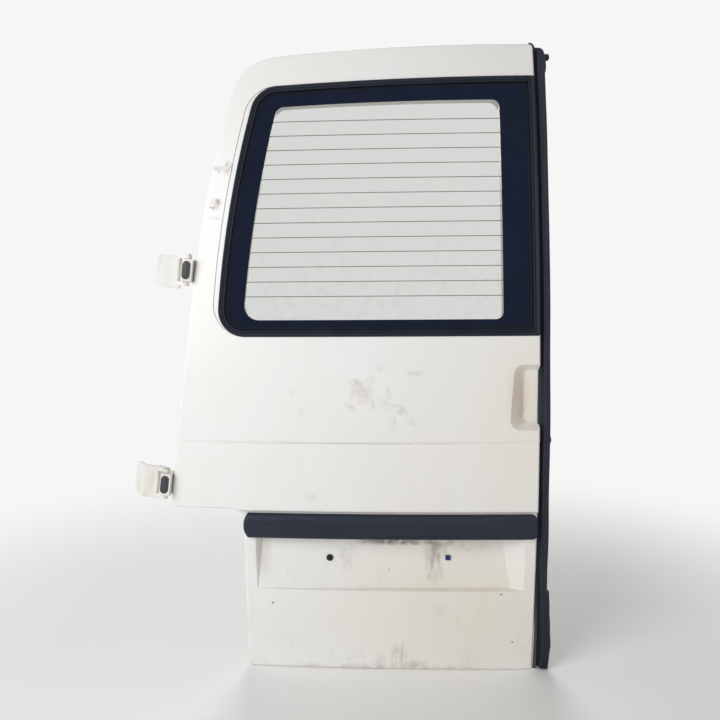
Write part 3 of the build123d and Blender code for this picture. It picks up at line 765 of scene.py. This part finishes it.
@dataclass(frozen=True)
class WindowOutline:
    """Outline of the window: four bowed edges with rounded corners, in door coordinates."""

    right: float = -1.0
    top: float = 1337.0
    bottom: float = 770.0
    top_left: Flat = (-615.0, 1321.0)
    bottom_left_x: float = -704.0
    top_sagitta: float = 4.0
    left_sagitta: float = 15.0
    straight_sagitta: float = 0.02
    radii: tuple[float, ...] = (5, 5, 62, 58)
    least_radius: float = 0.6
    edge_points: int = 28
    corner_points: int = 10

    def corners(self) -> list[Flat]:
        """Corners before they are rounded, from the lower one at the free edge."""
        low, high = (self.right, self.bottom), (self.right, self.top)
        return [low, high, self.top_left, (self.bottom_left_x, self.bottom)]

    def edges(self) -> list[tuple[Flat, float]]:
        """Edges of the window, drawn as arcs, from the lower corner at the free edge.

        Returns:
            Centre and radius of each arc.
        """
        corners = self.corners()
        sagittas = (self.straight_sagitta, self.top_sagitta, self.left_sagitta, self.straight_sagitta)
        arcs = []
        for index, sagitta in enumerate(sagittas):
            first, second = Vector(corners[index]), Vector(corners[(index + 1) % 4])
            chord = second - first
            radius = (chord.length_squared / 4 + sagitta * sagitta) / (2 * sagitta)
            inwards = Vector((-chord.y, chord.x)).normalized()
            centre = (first + second) / 2 + inwards * (radius - sagitta)
            arcs.append(((centre.x, centre.y), radius))
        return arcs

    def points(self, margin: float) -> list[Flat]:
        """Points of the outline moved outwards by a margin.

        Args:
            margin: distance outwards, or inwards where negative.

        Returns:
            Points round the window, with the same count for every margin.
        """
        arcs = self.edges()
        turns = []
        for index, corner in enumerate(self.corners()):
            radius = max(self.radii[index] + margin, self.least_radius)
            before, after = arcs[index - 1], arcs[index]
            shorter = [(arc[0], arc[1] + margin - radius) for arc in (before, after)]
            centre = meet(shorter[0], shorter[1], Vector(corner))
            starts = (centre - Vector(before[0])).normalized()
            ends = (centre - Vector(after[0])).normalized()
            shares = [step / self.corner_points for step in range(self.corner_points + 1)]
            turns.append([centre + starts.slerp(ends, share) * radius for share in shares])
        outline: list[Vector] = []
        for index in range(4):
            outline += turns[index]
            centre, radius = Vector(arcs[index][0]), arcs[index][1] + margin
            first = (turns[index][-1] - centre).normalized()
            second = (turns[(index + 1) % 4][0] - centre).normalized()
            shares = [step / self.edge_points for step in range(1, self.edge_points)]
            outline += [centre + first.slerp(second, share) * radius for share in shares]
        return [(point.x, point.y) for point in outline]


def meet(first: tuple[Flat, float], second: tuple[Flat, float], near: Vector) -> Vector:
    """Crossing of two circles that lies nearest to a point.

    Args:
        first: centre and radius of one circle.
        second: those of the other.
        near: the point.

    Returns:
        The crossing.
    """
    start, end = Vector(first[0]), Vector(second[0])
    gap = (end - start).length
    along = (first[1] ** 2 - second[1] ** 2 + gap * gap) / (2 * gap)
    aside = math.sqrt(max(first[1] ** 2 - along * along, 0.0))
    direction = (end - start) / gap
    middle = start + direction * along
    normal = Vector((-direction.y, direction.x))
    return min((middle + normal * aside, middle - normal * aside), key=lambda point: (point - near).length)


@dataclass
class Window(Assembly):
    """Glass, printed border, heater lines and the rubber gasket that holds them."""

    outline: WindowOutline = WindowOutline()
    gasket_profile: Profile = (
        (0, 1.3), (0.3, -0.4), (-0.2, -1.7), (-1.2, -2.5), (-2.4, -2.7), (-3.4, -2.4), (-4.4, -1.5),
        (-5.8, -0.9), (-7.4, -0.6), (-8.2, 0), (-8.6, 0.7), (-9.1, 0.7), (-9.5, -0.1), (-9.9, -0.8),
        (-10.7, -1.3), (-11.6, -1.4), (-12.5, -1.1), (-13.2, -0.6), (-13.5, -0.1), (-13.5, 0.5),
        (-10.05, 0.5), (-10.05, 3.9), (-20.4, 3.9), (-20.4, 6.3), (-4.2, 6.3), (-4.2, 1.3),
    )
    print_sink: float = 0.5

    def fired(self, node: str) -> Mesh:
        """Shape of a print, sunk from its packed place into the back of the pane.

        Args:
            node: packed print.

        Returns:
            The print's mesh.
        """
        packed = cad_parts[node]
        mesh = bmesh.new()
        mesh.from_mesh(packed.data)
        mesh.transform(packed.matrix_world)
        bmesh.ops.translate(mesh, vec=(0.0, -self.print_sink * MM, 0.0), verts=mesh.verts)
        return mesh

    def build(self) -> None:
        """Make the gasket and the prints, and dress the glass."""
        self.shop.dress(Coat.GLASS, "window_glass")
        prints = (("border_print", "glass_border", Coat.PRINT), ("heater_print", "heater_lines", Coat.HEATER))
        for name, node, coat in prints:
            self.shop.piece(name, self.fired(node), coat, (node,))
        loops = [
            [DOOR.at(x, z, inset) for x, z in self.outline.points(margin)]
            for margin, inset in self.gasket_profile
        ]
        rows = [list(section) for section in zip(*loops)]
        self.shop.piece("window_gasket_moulding", loft(rows, True), Coat.GASKET, ("window_gasket",))


@dataclass
class EdgeSeal(Assembly):
    """Rubber seal along the free edge, with its ribs, its foot, its metal carrier and its moulded top."""

    bottom: float = 4.0
    top: float = 1346.0
    step: float = 4.5
    width: Profile = (
        (4, 37.5), (30, 39), (58, 41), (101, 38), (151, 34.5), (192, 32.2), (198, 26.8), (247, 25.9),
        (315, 26.4), (431, 24.4), (529, 25), (537, 25.6), (542, 28.8), (547, 25.8), (560, 25.4), (730, 24),
        (850, 25), (1062, 25), (1270, 26.7), (1346, 27.2),
    )
    gap: Profile = ((4, 7.5), (77, 6), (127, 4.2), (175, 2.2), (230, 0.8), (300, 0.4))
    front: float = 6.0
    back: float = 30.0
    pad: Profile = ((548, 0), (590, 1), (690, 1), (730, 0))
    profile: Profile = (
        (0, 13), (0.16, 12.5), (0.26, 11), (0.30, 7), (0.33, 3.2), (0.37, 1.4), (0.44, 0.6), (0.52, 0.5),
        (0.56, 1.4), (0.60, 1.5), (0.66, 0.4), (0.76, 0), (0.86, 0.6), (0.95, 3),
    )
    pad_profile: Profile = (
        (0, 13), (0.16, 12.5), (0.26, 9), (0.30, 4), (0.34, 0.4), (0.38, -1.8), (0.44, -2.9), (0.52, -3),
        (0.58, -2.6), (0.64, -2), (0.72, -1.2), (0.80, -0.4), (0.88, 0.8), (0.95, 3),
    )
    rear_profile: Profile = ((1, 8), (0.99, 13), (0.93, 18), (0.80, 21.5), (0.55, 23.5), (0, 23.5))
    near_side: float = 0.4
    smooth: Flat = (60.0, 70.0)
    block: tuple[Triple, ...] = (
        (1346, 27.2, 6), (1352, 29.2, 4), (1362, 29.8, 2.8), (1374, 29, 2.2), (1384, 28, 2.4),
        (1390, 27, 3), (1395, 26, 4), (1400, 24, 5.6), (1403.5, 20.5, 8), (1405, 15, 11),
    )
    knob: Profile = (
        (7.4, 0), (7.4, 3.8), (6.8, 4.8), (6.8, 5.6), (7.6, 6.6), (7.5, 8.6), (6.4, 10.6), (4.6, 11.8),
        (2.4, 12.4),
    )
    corner_radius: float = 9.0
    corner_lip: Flat = (0.3, 3.4)
    corner_start: float = -0.9
    corner_insets: Flat = (1.5, 14.0)
    corner_steps: int = 12
    knob_points: int = 28
    knob_x: float = 26.5
    knob_z: float = 1384.0
    carrier_top: float = 240.0
    carrier_inset: float = 11.0
    carrier_sheet: float = 1.2
    carrier_lean: float = 2.0
    carrier_tuck: float = 1.5

    def section(self, z: float, width: float, front: float, gap: float, pad: float) -> list[Vector]:
        """One section of the seal at a height.

        Args:
            z: height on the door.
            width: reach of the seal beyond the free edge.
            front: inset of its front.
            gap: distance from the free edge to its near side.
            pad: share of the smooth pull pad in its front.

        Returns:
            Points round the section.
        """
        scale = (self.back - front) / self.rear_profile[-1][1]
        points = [
            (ribbed[0] + (smooth[0] - ribbed[0]) * pad, ribbed[1] + (smooth[1] - ribbed[1]) * pad)
            for ribbed, smooth in zip(self.profile, self.pad_profile)
        ]
        points += self.rear_profile
        return [DOOR.at(gap + across * (width - gap), z, front + depth * scale) for across, depth in points]

    def heights(self, bottom: float, top: float) -> list[float]:
        """Heights of the sections between two ends."""
        count = round((top - bottom) / self.step)
        return [bottom + (top - bottom) * index / count for index in range(count + 1)]

    def top_corner(self, mesh: Mesh) -> Mesh:
        """Add the lip that follows the door's rounded top corner.

        Args:
            mesh: mesh to add to.

        Returns:
            The mesh.
        """
        near, far = self.corner_lip
        front, back = self.corner_insets
        section = ((near, front), (far, front), (far, back), (near, back))
        rows = []
        for index in range(self.corner_steps + 1):
            angle = self.corner_start + (math.pi / 2 - self.corner_start) * index / self.corner_steps
            row = []
            for out, inset in section:
                reach = self.corner_radius + out
                x = reach * math.cos(angle) - self.corner_radius
                row.append(DOOR.at(x, DOOR.height - self.corner_radius + reach * math.sin(angle), inset))
            rows.append(row)
        return loft(rows, mesh=mesh)

    def build(self) -> None:
        """Make the seal, its carrier, its top and the knob on it."""
        rows = [
            self.section(z, eased(self.width, z), self.front, eased(self.gap, z), eased(self.pad, z))
            for z in self.heights(self.bottom, self.top)
        ]
        self.shop.piece("free_edge_seal", loft(rows), Coat.SEAL, ("edge_seal", "seal_foot"), self.smooth[0])
        rows = [self.section(z, width, front, self.near_side, 0.0) for z, width, front in self.block]
        top = self.top_corner(loft(rows))
        self.shop.piece("seal_top_moulding", top, Coat.SEAL, ("seal_top_block",), self.smooth[1])
        foot = DOOR.at(self.knob_x, self.knob_z, (self.front + self.back) / 2)
        knob = turned(self.knob, foot, Vector((1.0, 0.0, 0.0)), self.knob_points)
        self.shop.piece("seal_top_knob", knob, Coat.SEAL, ("seal_buffer",))
        near, far = self.carrier_inset, self.carrier_inset + self.carrier_sheet
        rows = []
        for z in self.heights(self.bottom, self.carrier_top):
            start, reach = self.near_side, eased(self.gap, z) + self.carrier_tuck
            lean = self.carrier_lean
            section = ((start, near - lean), (reach, near), (reach, far), (start, far - lean))
            rows.append([DOOR.at(x, z, inset) for x, inset in section])
        # Its dark brown finish is painted shade of the gap between skin and seal, over rusty primer.
        self.shop.piece("seal_carrier", loft(rows), Coat.CARRIER)


@dataclass
class RubStrip(Assembly):
    """Crowned plastic strip across the lower panel."""

    left: float = -653.0
    right: float = -2.0
    bottom: float = 321.0
    top: float = 376.0
    bulge: float = 10.0
    tip: float = 0.2
    end_round: float = 12.0
    end_roll: float = 6.0
    end_inset: float = 1.5
    step: float = 12.0
    left_shares: tuple[float, ...] = (0, 0.05, 0.11, 0.2, 0.32, 0.48, 0.66, 0.84)
    right_shares: tuple[float, ...] = (0.8, 0.6, 0.4, 0.22, 0.1, 0.03, 0)
    lower_profile: Profile = (
        (0, 10), (0, 0.5), (0.012, -1.8), (0.045, -3.8), (0.09, -4.8), (0.135, -5), (0.15, -5.6),
        (0.30, -6.2), (0.50, -6.4),
    )

    def height(self, x: float) -> float:
        """Share of the strip's full height that is left near an end; the left end is one shallow arc.

        Args:
            x: place across the door.

        Returns:
            The share, from that of the tip to 1.
        """
        half = (self.top - self.bottom) / 2
        radius = (half * half + self.bulge * self.bulge) / (2 * self.bulge)
        from_left = min(x - self.left, self.bulge)
        left_half = math.sqrt(max(2 * radius * from_left - from_left * from_left, 0.0))
        from_right = min((self.right - x) / self.end_round, 1.0)
        right_half = half - self.end_round * (1.0 - math.sqrt(max(1.0 - (1.0 - from_right) ** 2, 0.0)))
        return max(min(left_half, right_half) / half, self.tip)

    def build(self) -> None:
        """Make the strip."""
        places = [self.left + share * self.bulge for share in self.left_shares]
        inner = self.right - self.end_round - self.left - self.bulge
        count = round(inner / self.step)
        places += [self.left + self.bulge + inner * index / count for index in range(count + 1)]
        places += [self.right - self.end_round * share for share in self.right_shares]
        profile = [*self.lower_profile, *((1.0 - up, out) for up, out in reversed(self.lower_profile[:-1]))]
        middle = (self.bottom + self.top) / 2
        full = self.top - self.bottom
        rows = []
        for x in places:
            share = self.height(x)
            near = min(x - self.left, self.right - x)
            sink = 1.0 - math.sqrt(max(1.0 - (1.0 - min(near / self.end_roll, 1.0)) ** 2, 0.0))
            row = []
            for up, out in profile:
                inset = out + sink * max(0.0, self.end_inset - out)
                row.append(DOOR.at(x, middle + (up - 0.5) * full * share, inset))
            rows.append(row)
        self.shop.piece("rub_strip_moulding", loft(rows), Coat.STRIP, ("rub_strip",))


@dataclass
class PlateRecess(Assembly):
    """Number-plate recess with its lamps, grommet and screw insert."""

    floor_corners: tuple[Triple, ...] = ((-607, 196, 2), (-607, 352, 17), (-85, 352, 32))
    face_inset: float = 10.0
    hole_z: float = 267.0
    grommet_x: float = -461.0
    insert_x: float = -194.0
    grommet: Profile = (
        (4.8, -5.5), (4.8, -0.2), (7.8, -0.1), (7.8, 1.2), (7.3, 2.3), (6.2, 2.9), (5.2, 2.5), (4.6, 1.5),
        (3.8, 1.4), (3.3, 2.4), (2.9, 3.6), (2.2, 3.9), (1.6, 3.4), (1.4, 1.6),
    )
    insert_half: float = 5.7
    insert_points: int = 40
    insert_rings: tuple[Triple, ...] = (
        (0.78, 0.75, -5.5), (0.78, 0.75, -0.2), (1, 0.16, -0.1), (1, 0.16, 2.8), (0.94, 0.18, 3.6),
        (0.84, 0.22, 3.9), (0.52, 0.9, 3.9), (0.44, 1, 3.5), (0.40, 1, -2),
    )

    def floor(self, x: float, z: float) -> tuple[Vector, Vector]:
        """Point on the recess's floor, and the direction straight out of it.

        Args:
            x: place across the door.
            z: height above the bottom edge.

        Returns:
            The point and the direction.
        """
        low, high, far = (
            DOOR.frame_point(side, DOOR.skin_y(side, height, self.face_inset) + depth, height)
            for side, height, depth in self.floor_corners
        )
        normal = (far - high).cross(high - low).normalized()
        start = DOOR.frame_point(x, 0.0, z)
        return start + Vector((0.0, (low - start).dot(normal) / normal.y, 0.0)), normal

    def insert(self) -> Mesh:
        """Square insert with rounded corners and a bore.

        Returns:
            The insert's mesh.
        """
        foot, normal = self.floor(self.insert_x, self.hole_z)
        spin = normal.to_track_quat("Z", "Y")
        rows = []
        for size, roundness, height in self.insert_rings:
            half = self.insert_half * size
            radius = half * roundness
            rows.append([])
            for spoke in around(self.insert_points):
                x, y = (math.copysign(half - radius, part) + radius * part for part in spoke)
                rows[-1].append(foot + spin @ Vector((x, y, height)) * MM)
        return loft(rows)

    def build(self) -> None:
        """Make the grommet and the insert, and dress the lamps."""
        foot, normal = self.floor(self.grommet_x, self.hole_z)
        grommet = turned(self.grommet, foot, normal)
        self.shop.piece("plate_grommet_moulding", grommet, Coat.BLACK_RUBBER, ("plate_grommet",))
        self.shop.piece("screw_insert_moulding", self.insert(), Coat.BLUE_PLASTIC, ("screw_insert",))
        self.shop.dress(Coat.LAMP, "plate_lamp_left", "plate_lamp_right")


@dataclass(frozen=True)
class HingePlace:
    """Where a hinge sits, with Z along its pin and X towards the door."""

    name: str
    pin: Triple
    pin_line: Triple = (0.121519, 0.047755, 0.99144)
    to_door: Triple = (0.992572, 0.0, -0.121658)

    def at(self, x: float, y: float, z: float) -> Vector:
        """Point of the hinge in the shared frame, in metres."""
        along, across = Vector(self.pin_line), Vector(self.to_door)
        return Vector(self.pin) + (across * x + along.cross(across) * y + along * z) * MM


@dataclass
class Hinges(Assembly):
    """Upper and lower hinge."""

    places: tuple[HingePlace, ...] = (
        HingePlace("lower", (0.0389078, -0.0339612, -0.00313305)),
        HingePlace("upper", (0.0969438, -0.011154, 0.47036695)),
    )
    cover_length: float = 40.0
    cover_width: float = 18.0
    cover_points: int = 48
    cover_rings: Profile = (
        (0, -9.05), (0, -12.4), (0.5, -12.9), (1.4, -13.1), (2, -12.7), (2.8, -12.7), (4.2, -13.1),
        (6.4, -13.4), (8.4, -13.5),
    )
    bolt_head: Profile = ((6, 1.4), (6.4, 1.6), (6.4, 4.3), (5.6, 5), (3, 5), (2.6, 4.4))
    bolt_washer: Profile = ((3, 0.05), (8.4, 0.05), (8.6, 0.5), (8.2, 1.1), (6, 1.5), (3, 1.5))
    bolt_spot: Triple = (29.0, 38.0, 15.0)
    bolt_points: tuple[int, int] = (30, 6)
    bolt_angle: float = 25.0

    def cover(self, place: HingePlace) -> Mesh:
        """Oblong cap with a groove inside its rim and a crowned middle.

        Args:
            place: where the hinge sits.

        Returns:
            The cap's mesh.
        """
        straight = (self.cover_length - self.cover_width) / 2
        rows = []
        for inset, depth in self.cover_rings:
            radius = self.cover_width / 2 - inset
            rows.append([
                place.at(radius * across, depth, math.copysign(straight, up) + radius * up)
                for across, up in around(self.cover_points, 0.5)
            ])
        return loft(rows)

    def bolts(self, place: HingePlace) -> Mesh:
        """Two hexagon bolts with washers on the door leaf's plate.

        Args:
            place: where the hinge sits.

        Returns:
            The bolts' mesh.
        """
        mesh = bmesh.new()
        x, y, reach = self.bolt_spot
        for z in (-reach, reach):
            foot = place.at(x, y, z)
            for profile, points in zip((self.bolt_washer, self.bolt_head), self.bolt_points):
                turned(profile, foot, -Vector(place.to_door), points, mesh)
        return mesh

    def build(self) -> None:
        """Dress the leaves and pins, and make the covers and bolts."""
        for place in self.places:
            name = place.name
            self.shop.dress(Coat.HINGE_PAINT, f"{name}_hinge_body_leaf", f"{name}_hinge_door_leaf")
            self.shop.dress(Coat.ZINC, f"{name}_hinge_pin")
            cover, bolts = self.cover(place), self.bolts(place)
            self.shop.piece(f"{name}_cover_cap", cover, Coat.BLACK_PLASTIC, (f"{name}_hinge_cover",))
            self.shop.piece(f"{name}_bolt_heads", bolts, Coat.ZINC, (f"{name}_hinge_bolts",), self.bolt_angle)


@dataclass
class Panels(Assembly):
    """Outer skin, inner panel and window frame."""

    def build(self) -> None:
        """Dress the sheet metal."""
        self.shop.dress(Coat.PAINT, "outer_skin")
        self.shop.dress(Coat.INNER_PAINT, "inner_panel", "window_frame")


@dataclass
class InnerFittings(Assembly):
    """Trim board, latches, lever, striker, bungs and buffers on the inner side."""

    seat: float = 56.3
    trim_seat: float = 59.6
    latch_top: float = 73.3
    trim_columns: Triple = (-574.0, -334.0, -94.0)
    trim_rows: tuple[float, ...] = (78, 282, 486, 690)
    clip: Profile = ((9, 0), (9, 0.7), (8.3, 1.6), (6.4, 2.2), (3.4, 2.5), (2.7, 2), (2.5, 1.2))
    bung_spots: Profile = ((-716, 800), (-745, 560), (-700, 470), (-690, 640))
    bung: Profile = (
        (14, 0), (14, 1.2), (13.2, 2.3), (11.6, 2.9), (10.2, 2.8), (9.4, 1.5), (6, 1.2), (3, 1.7), (1.5, 2),
    )
    buffer_spots: Profile = ((-732, 720), (-608, 36), (-46, 760))
    buffer: Profile = (
        (13, 0), (13, 2.6), (12.2, 3.6), (11.4, 8.6), (10.4, 10.4), (8.4, 11), (5.6, 10.6), (4.8, 8.4),
        (4.6, 6),
    )
    latch_spots: Profile = ((-46, 1312), (-46, 84))
    screw_across: float = 14.0
    screw_up: float = 39.0
    screw: Profile = ((4.9, 0), (4.9, 0.9), (4.3, 1.9), (3.2, 2.5), (2.2, 2.6), (2.1, 1.2))
    lever_x: float = -46.0
    lever_half: float = 8.5
    rib_zs: tuple[float, ...] = (592, 600, 608, 616, 624)
    rib: Profile = ((-2.2, -0.4), (-1.9, 0.5), (-1, 1.2), (0, 1.4), (1, 1.2), (1.9, 0.5), (2.2, -0.4))
    rib_ends: Profile = ((-1, 0.35), (-0.92, 1), (0.92, 1), (1, 0.35))
    striker_x: float = -15.0
    striker_seat: Flat = (-18.0, 500.0)
    striker_inset: float = 42.0
    striker_zs: Flat = (471.0, 529.0)

    def studs(self, profile: Sequence[Flat], spots: Sequence[Flat], inset: float) -> Mesh:
        """Like turned parts at places on the inner side.

        Args:
            profile: radius and height of each ring.
            spots: places on the door.
            inset: distance of their feet from the skin.

        Returns:
            One mesh of all of them.
        """
        mesh = bmesh.new()
        for x, z in spots:
            turned(profile, DOOR.at(x, z, inset), -DOOR.outward(x, z), mesh=mesh)
        return mesh

    def lever_ribs(self) -> Mesh:
        """Grip ribs across the release lever.

        Returns:
            The ribs' mesh.
        """
        mesh = bmesh.new()
        for z in self.rib_zs:
            rows = []
            for share, rise in self.rib_ends:
                x = self.lever_x + share * self.lever_half
                rows.append([DOOR.at(x, z + up, self.latch_top + out * rise) for up, out in self.rib])
            loft(rows, mesh=mesh)
        return mesh

    def build(self) -> None:
        """Dress the fittings, and make the turned parts, screws and ribs."""
        self.shop.dress(Coat.TRIM, "trim_panel")
        self.shop.dress(Coat.ZINC, "upper_latch", "lower_latch", "lock_striker")
        self.shop.dress(Coat.BLACK_PLASTIC, "release_lever")
        clips = [
            (x, z)
            for row, z in enumerate(self.trim_rows)
            for column, x in enumerate(self.trim_columns)
            if row in (0, len(self.trim_rows) - 1) or column in (0, len(self.trim_columns) - 1)
        ]
        screws = [
            (x + across, z + up)
            for x, z in self.latch_spots
            for across in (-self.screw_across, self.screw_across)
            for up in (-self.screw_up, self.screw_up)
        ]
        rubber, plastic, seat = Coat.BLACK_RUBBER, Coat.BLACK_PLASTIC, self.seat
        for name, profile, spots, inset, coat, replaces in (
            ("trim_clip_heads", self.clip, clips, self.trim_seat, plastic, ["trim_clips"]),
            ("panel_bung_caps", self.bung, self.bung_spots, seat, rubber, ["panel_bungs"]),
            ("rubber_buffer_mouldings", self.buffer, self.buffer_spots, seat, rubber, ["rubber_buffers"]),
            ("latch_screws", self.screw, screws, self.latch_top, Coat.ZINC, []),
        ):
            self.shop.piece(name, self.studs(profile, spots, inset), coat, replaces)
        self.shop.piece("lever_grip_ribs", self.lever_ribs(), Coat.BLACK_PLASTIC)
        mesh = bmesh.new()
        depth = DOOR.skin_y(*self.striker_seat, self.striker_inset)
        for z in self.striker_zs:
            foot = DOOR.frame_point(self.striker_x, depth, z)
            turned(self.screw, foot, Vector((1, 0, 0)), mesh=mesh)
        self.shop.piece("striker_screws", mesh, Coat.ZINC)


@dataclass(frozen=True)
class Lamp:
    """One soft area light, aimed at the door."""

    name: str
    place: Triple
    power: float
    size: float
    colour: Colour = EVEN

    def build(self, aim: Vector) -> None:
        """Hang the light.

        Args:
            aim: point that it shines at.
        """
        data = bpy.data.lights.new(self.name, "AREA")
        data.shape = "DISK"
        data.size = self.size
        data.energy = self.power
        data.color = self.colour
        made = placed(self.name, data)
        made.location = self.place
        made.rotation_euler = (aim - made.location).to_track_quat("-Z", "Y").to_euler()
        made.visible_camera = False
        made.visible_transmission = False


@dataclass
class Studio:
    """Floor, backdrop, lights and camera."""

    backdrop: Colour = (0.92, 0.92, 0.925)
    ambient: float = 0.31
    floor_colour: Colour = (0.95, 0.95, 0.945)
    floor_radius: float = 4.0
    floor_points: int = 96
    floor_x: float = 0.45
    floor_gap: float = 0.0005
    floor_cloud: Flat = (3.0, 4.0)
    floor_shade: float = 0.97
    floor_roughness: float = 0.6
    floor_specular: float = 0.2
    floor_fade: Flat = (0.7, 1.9)
    sensor: float = 36.0
    eye: Triple = (-397.95, -1533.63, 883.23)
    pitch: float = -6.003
    yaw: float = -0.317
    roll: float = -0.431
    focal_share: float = 722.0 / 720.0
    lamps: tuple[Lamp, ...] = (
        Lamp("key_light", (-1.62, -2.2, 1.35), 74.0, 2.4),
        Lamp("fill_light", (2.2, -2.2, 0.2), 5.0, 1.6, (1.0, 0.74, 0.48)),
        Lamp("back_light", (0.6, 2.6, 1.8), 40.0, 2.0),
    )

    def world(self) -> None:
        """Light the surroundings, and show a pale backdrop."""
        world = bpy.data.worlds.new("studio")
        bpy.context.scene.world = world
        world.use_nodes = True
        world.node_tree.nodes.clear()
        nodes = Nodes(world.node_tree)
        rays = nodes.node("ShaderNodeLightPath").outputs
        seen = nodes.math("MAXIMUM", rays["Is Camera Ray"], rays["Is Glossy Ray"])
        seen = nodes.math("MAXIMUM", seen, rays["Is Transmission Ray"])
        light = nodes.node("ShaderNodeBackground", {"Strength": self.ambient}).outputs[0]
        shown = nodes.node("ShaderNodeBackground", {"Color": self.backdrop}).outputs[0]
        mixed = nodes.node("ShaderNodeMixShader", {0: seen, 1: light, 2: shown})
        nodes.node("ShaderNodeOutputWorld", {"Surface": mixed.outputs[0]})

    def floor(self) -> None:
        """Lay a pale floor that fades into the backdrop."""
        mesh = bmesh.new()
        bmesh.ops.create_circle(mesh, cap_ends=True, segments=self.floor_points, radius=self.floor_radius)
        data = bpy.data.meshes.new("floor")
        mesh.to_mesh(data)
        mesh.free()
        made = placed("floor", data)
        made.location = (self.floor_x, 0.0, cad_box[0][2] - self.floor_gap)
        shader = Shader("floor")
        pale = tuple(value * self.floor_shade for value in self.floor_colour)
        colour = shader.mix(shader.noise(*self.floor_cloud), self.floor_colour, pale)
        shader.set({"Base Color": colour, "Roughness": self.floor_roughness})
        shader.set({"Specular IOR Level": self.floor_specular})
        fade = shader.ramp(shader.distance(shader.place), *self.floor_fade)
        glow = shader.node("ShaderNodeEmission", {"Color": self.backdrop})
        mixed = shader.node(
            "ShaderNodeMixShader", {0: fade, 1: shader.surface.outputs[0], 2: glow.outputs[0]}
        )
        shader.feed(shader.tree.nodes["Material Output"].inputs["Surface"], mixed.outputs[0])
        data.materials.append(shader.material)

    def camera(self) -> None:
        """Set the camera where the photograph was taken."""
        data = bpy.data.cameras.new("camera")
        data.sensor_width = self.sensor
        data.sensor_height = self.sensor
        data.sensor_fit = "HORIZONTAL"
        data.lens = self.sensor * self.focal_share
        made = placed("camera", data)
        made.location = DOOR.frame_point(*self.eye)
        yaw = Euler((0.0, 0.0, math.radians(self.yaw))).to_matrix()
        pitch = Euler((math.radians(90.0 + self.pitch), 0.0, 0.0)).to_matrix()
        roll = Euler((0.0, 0.0, math.radians(self.roll))).to_matrix()
        made.rotation_euler = (yaw @ pitch @ roll).to_euler()
        bpy.context.scene.camera = made

    def build(self) -> None:
        """Set up the whole studio."""
        self.world()
        self.floor()
        middle = (Vector(cad_box[0]) + Vector(cad_box[1])) / 2
        for lamp in self.lamps:
            lamp.build(middle)
        self.camera()
        bpy.context.scene.view_settings.view_transform = "Standard"


def main() -> None:
    """Build the door's looks in order."""
    logging.basicConfig(level=logging.INFO, format="%(name)s: %(message)s")
    workshop = Workshop()
    for assembly in (Panels, Window, EdgeSeal, RubStrip, PlateRecess, Hinges, InnerFittings):
        assembly(workshop).build()
        log.info("finished %s", assembly.__name__)
    Studio().build()


if __name__ == "__main__":
    main()
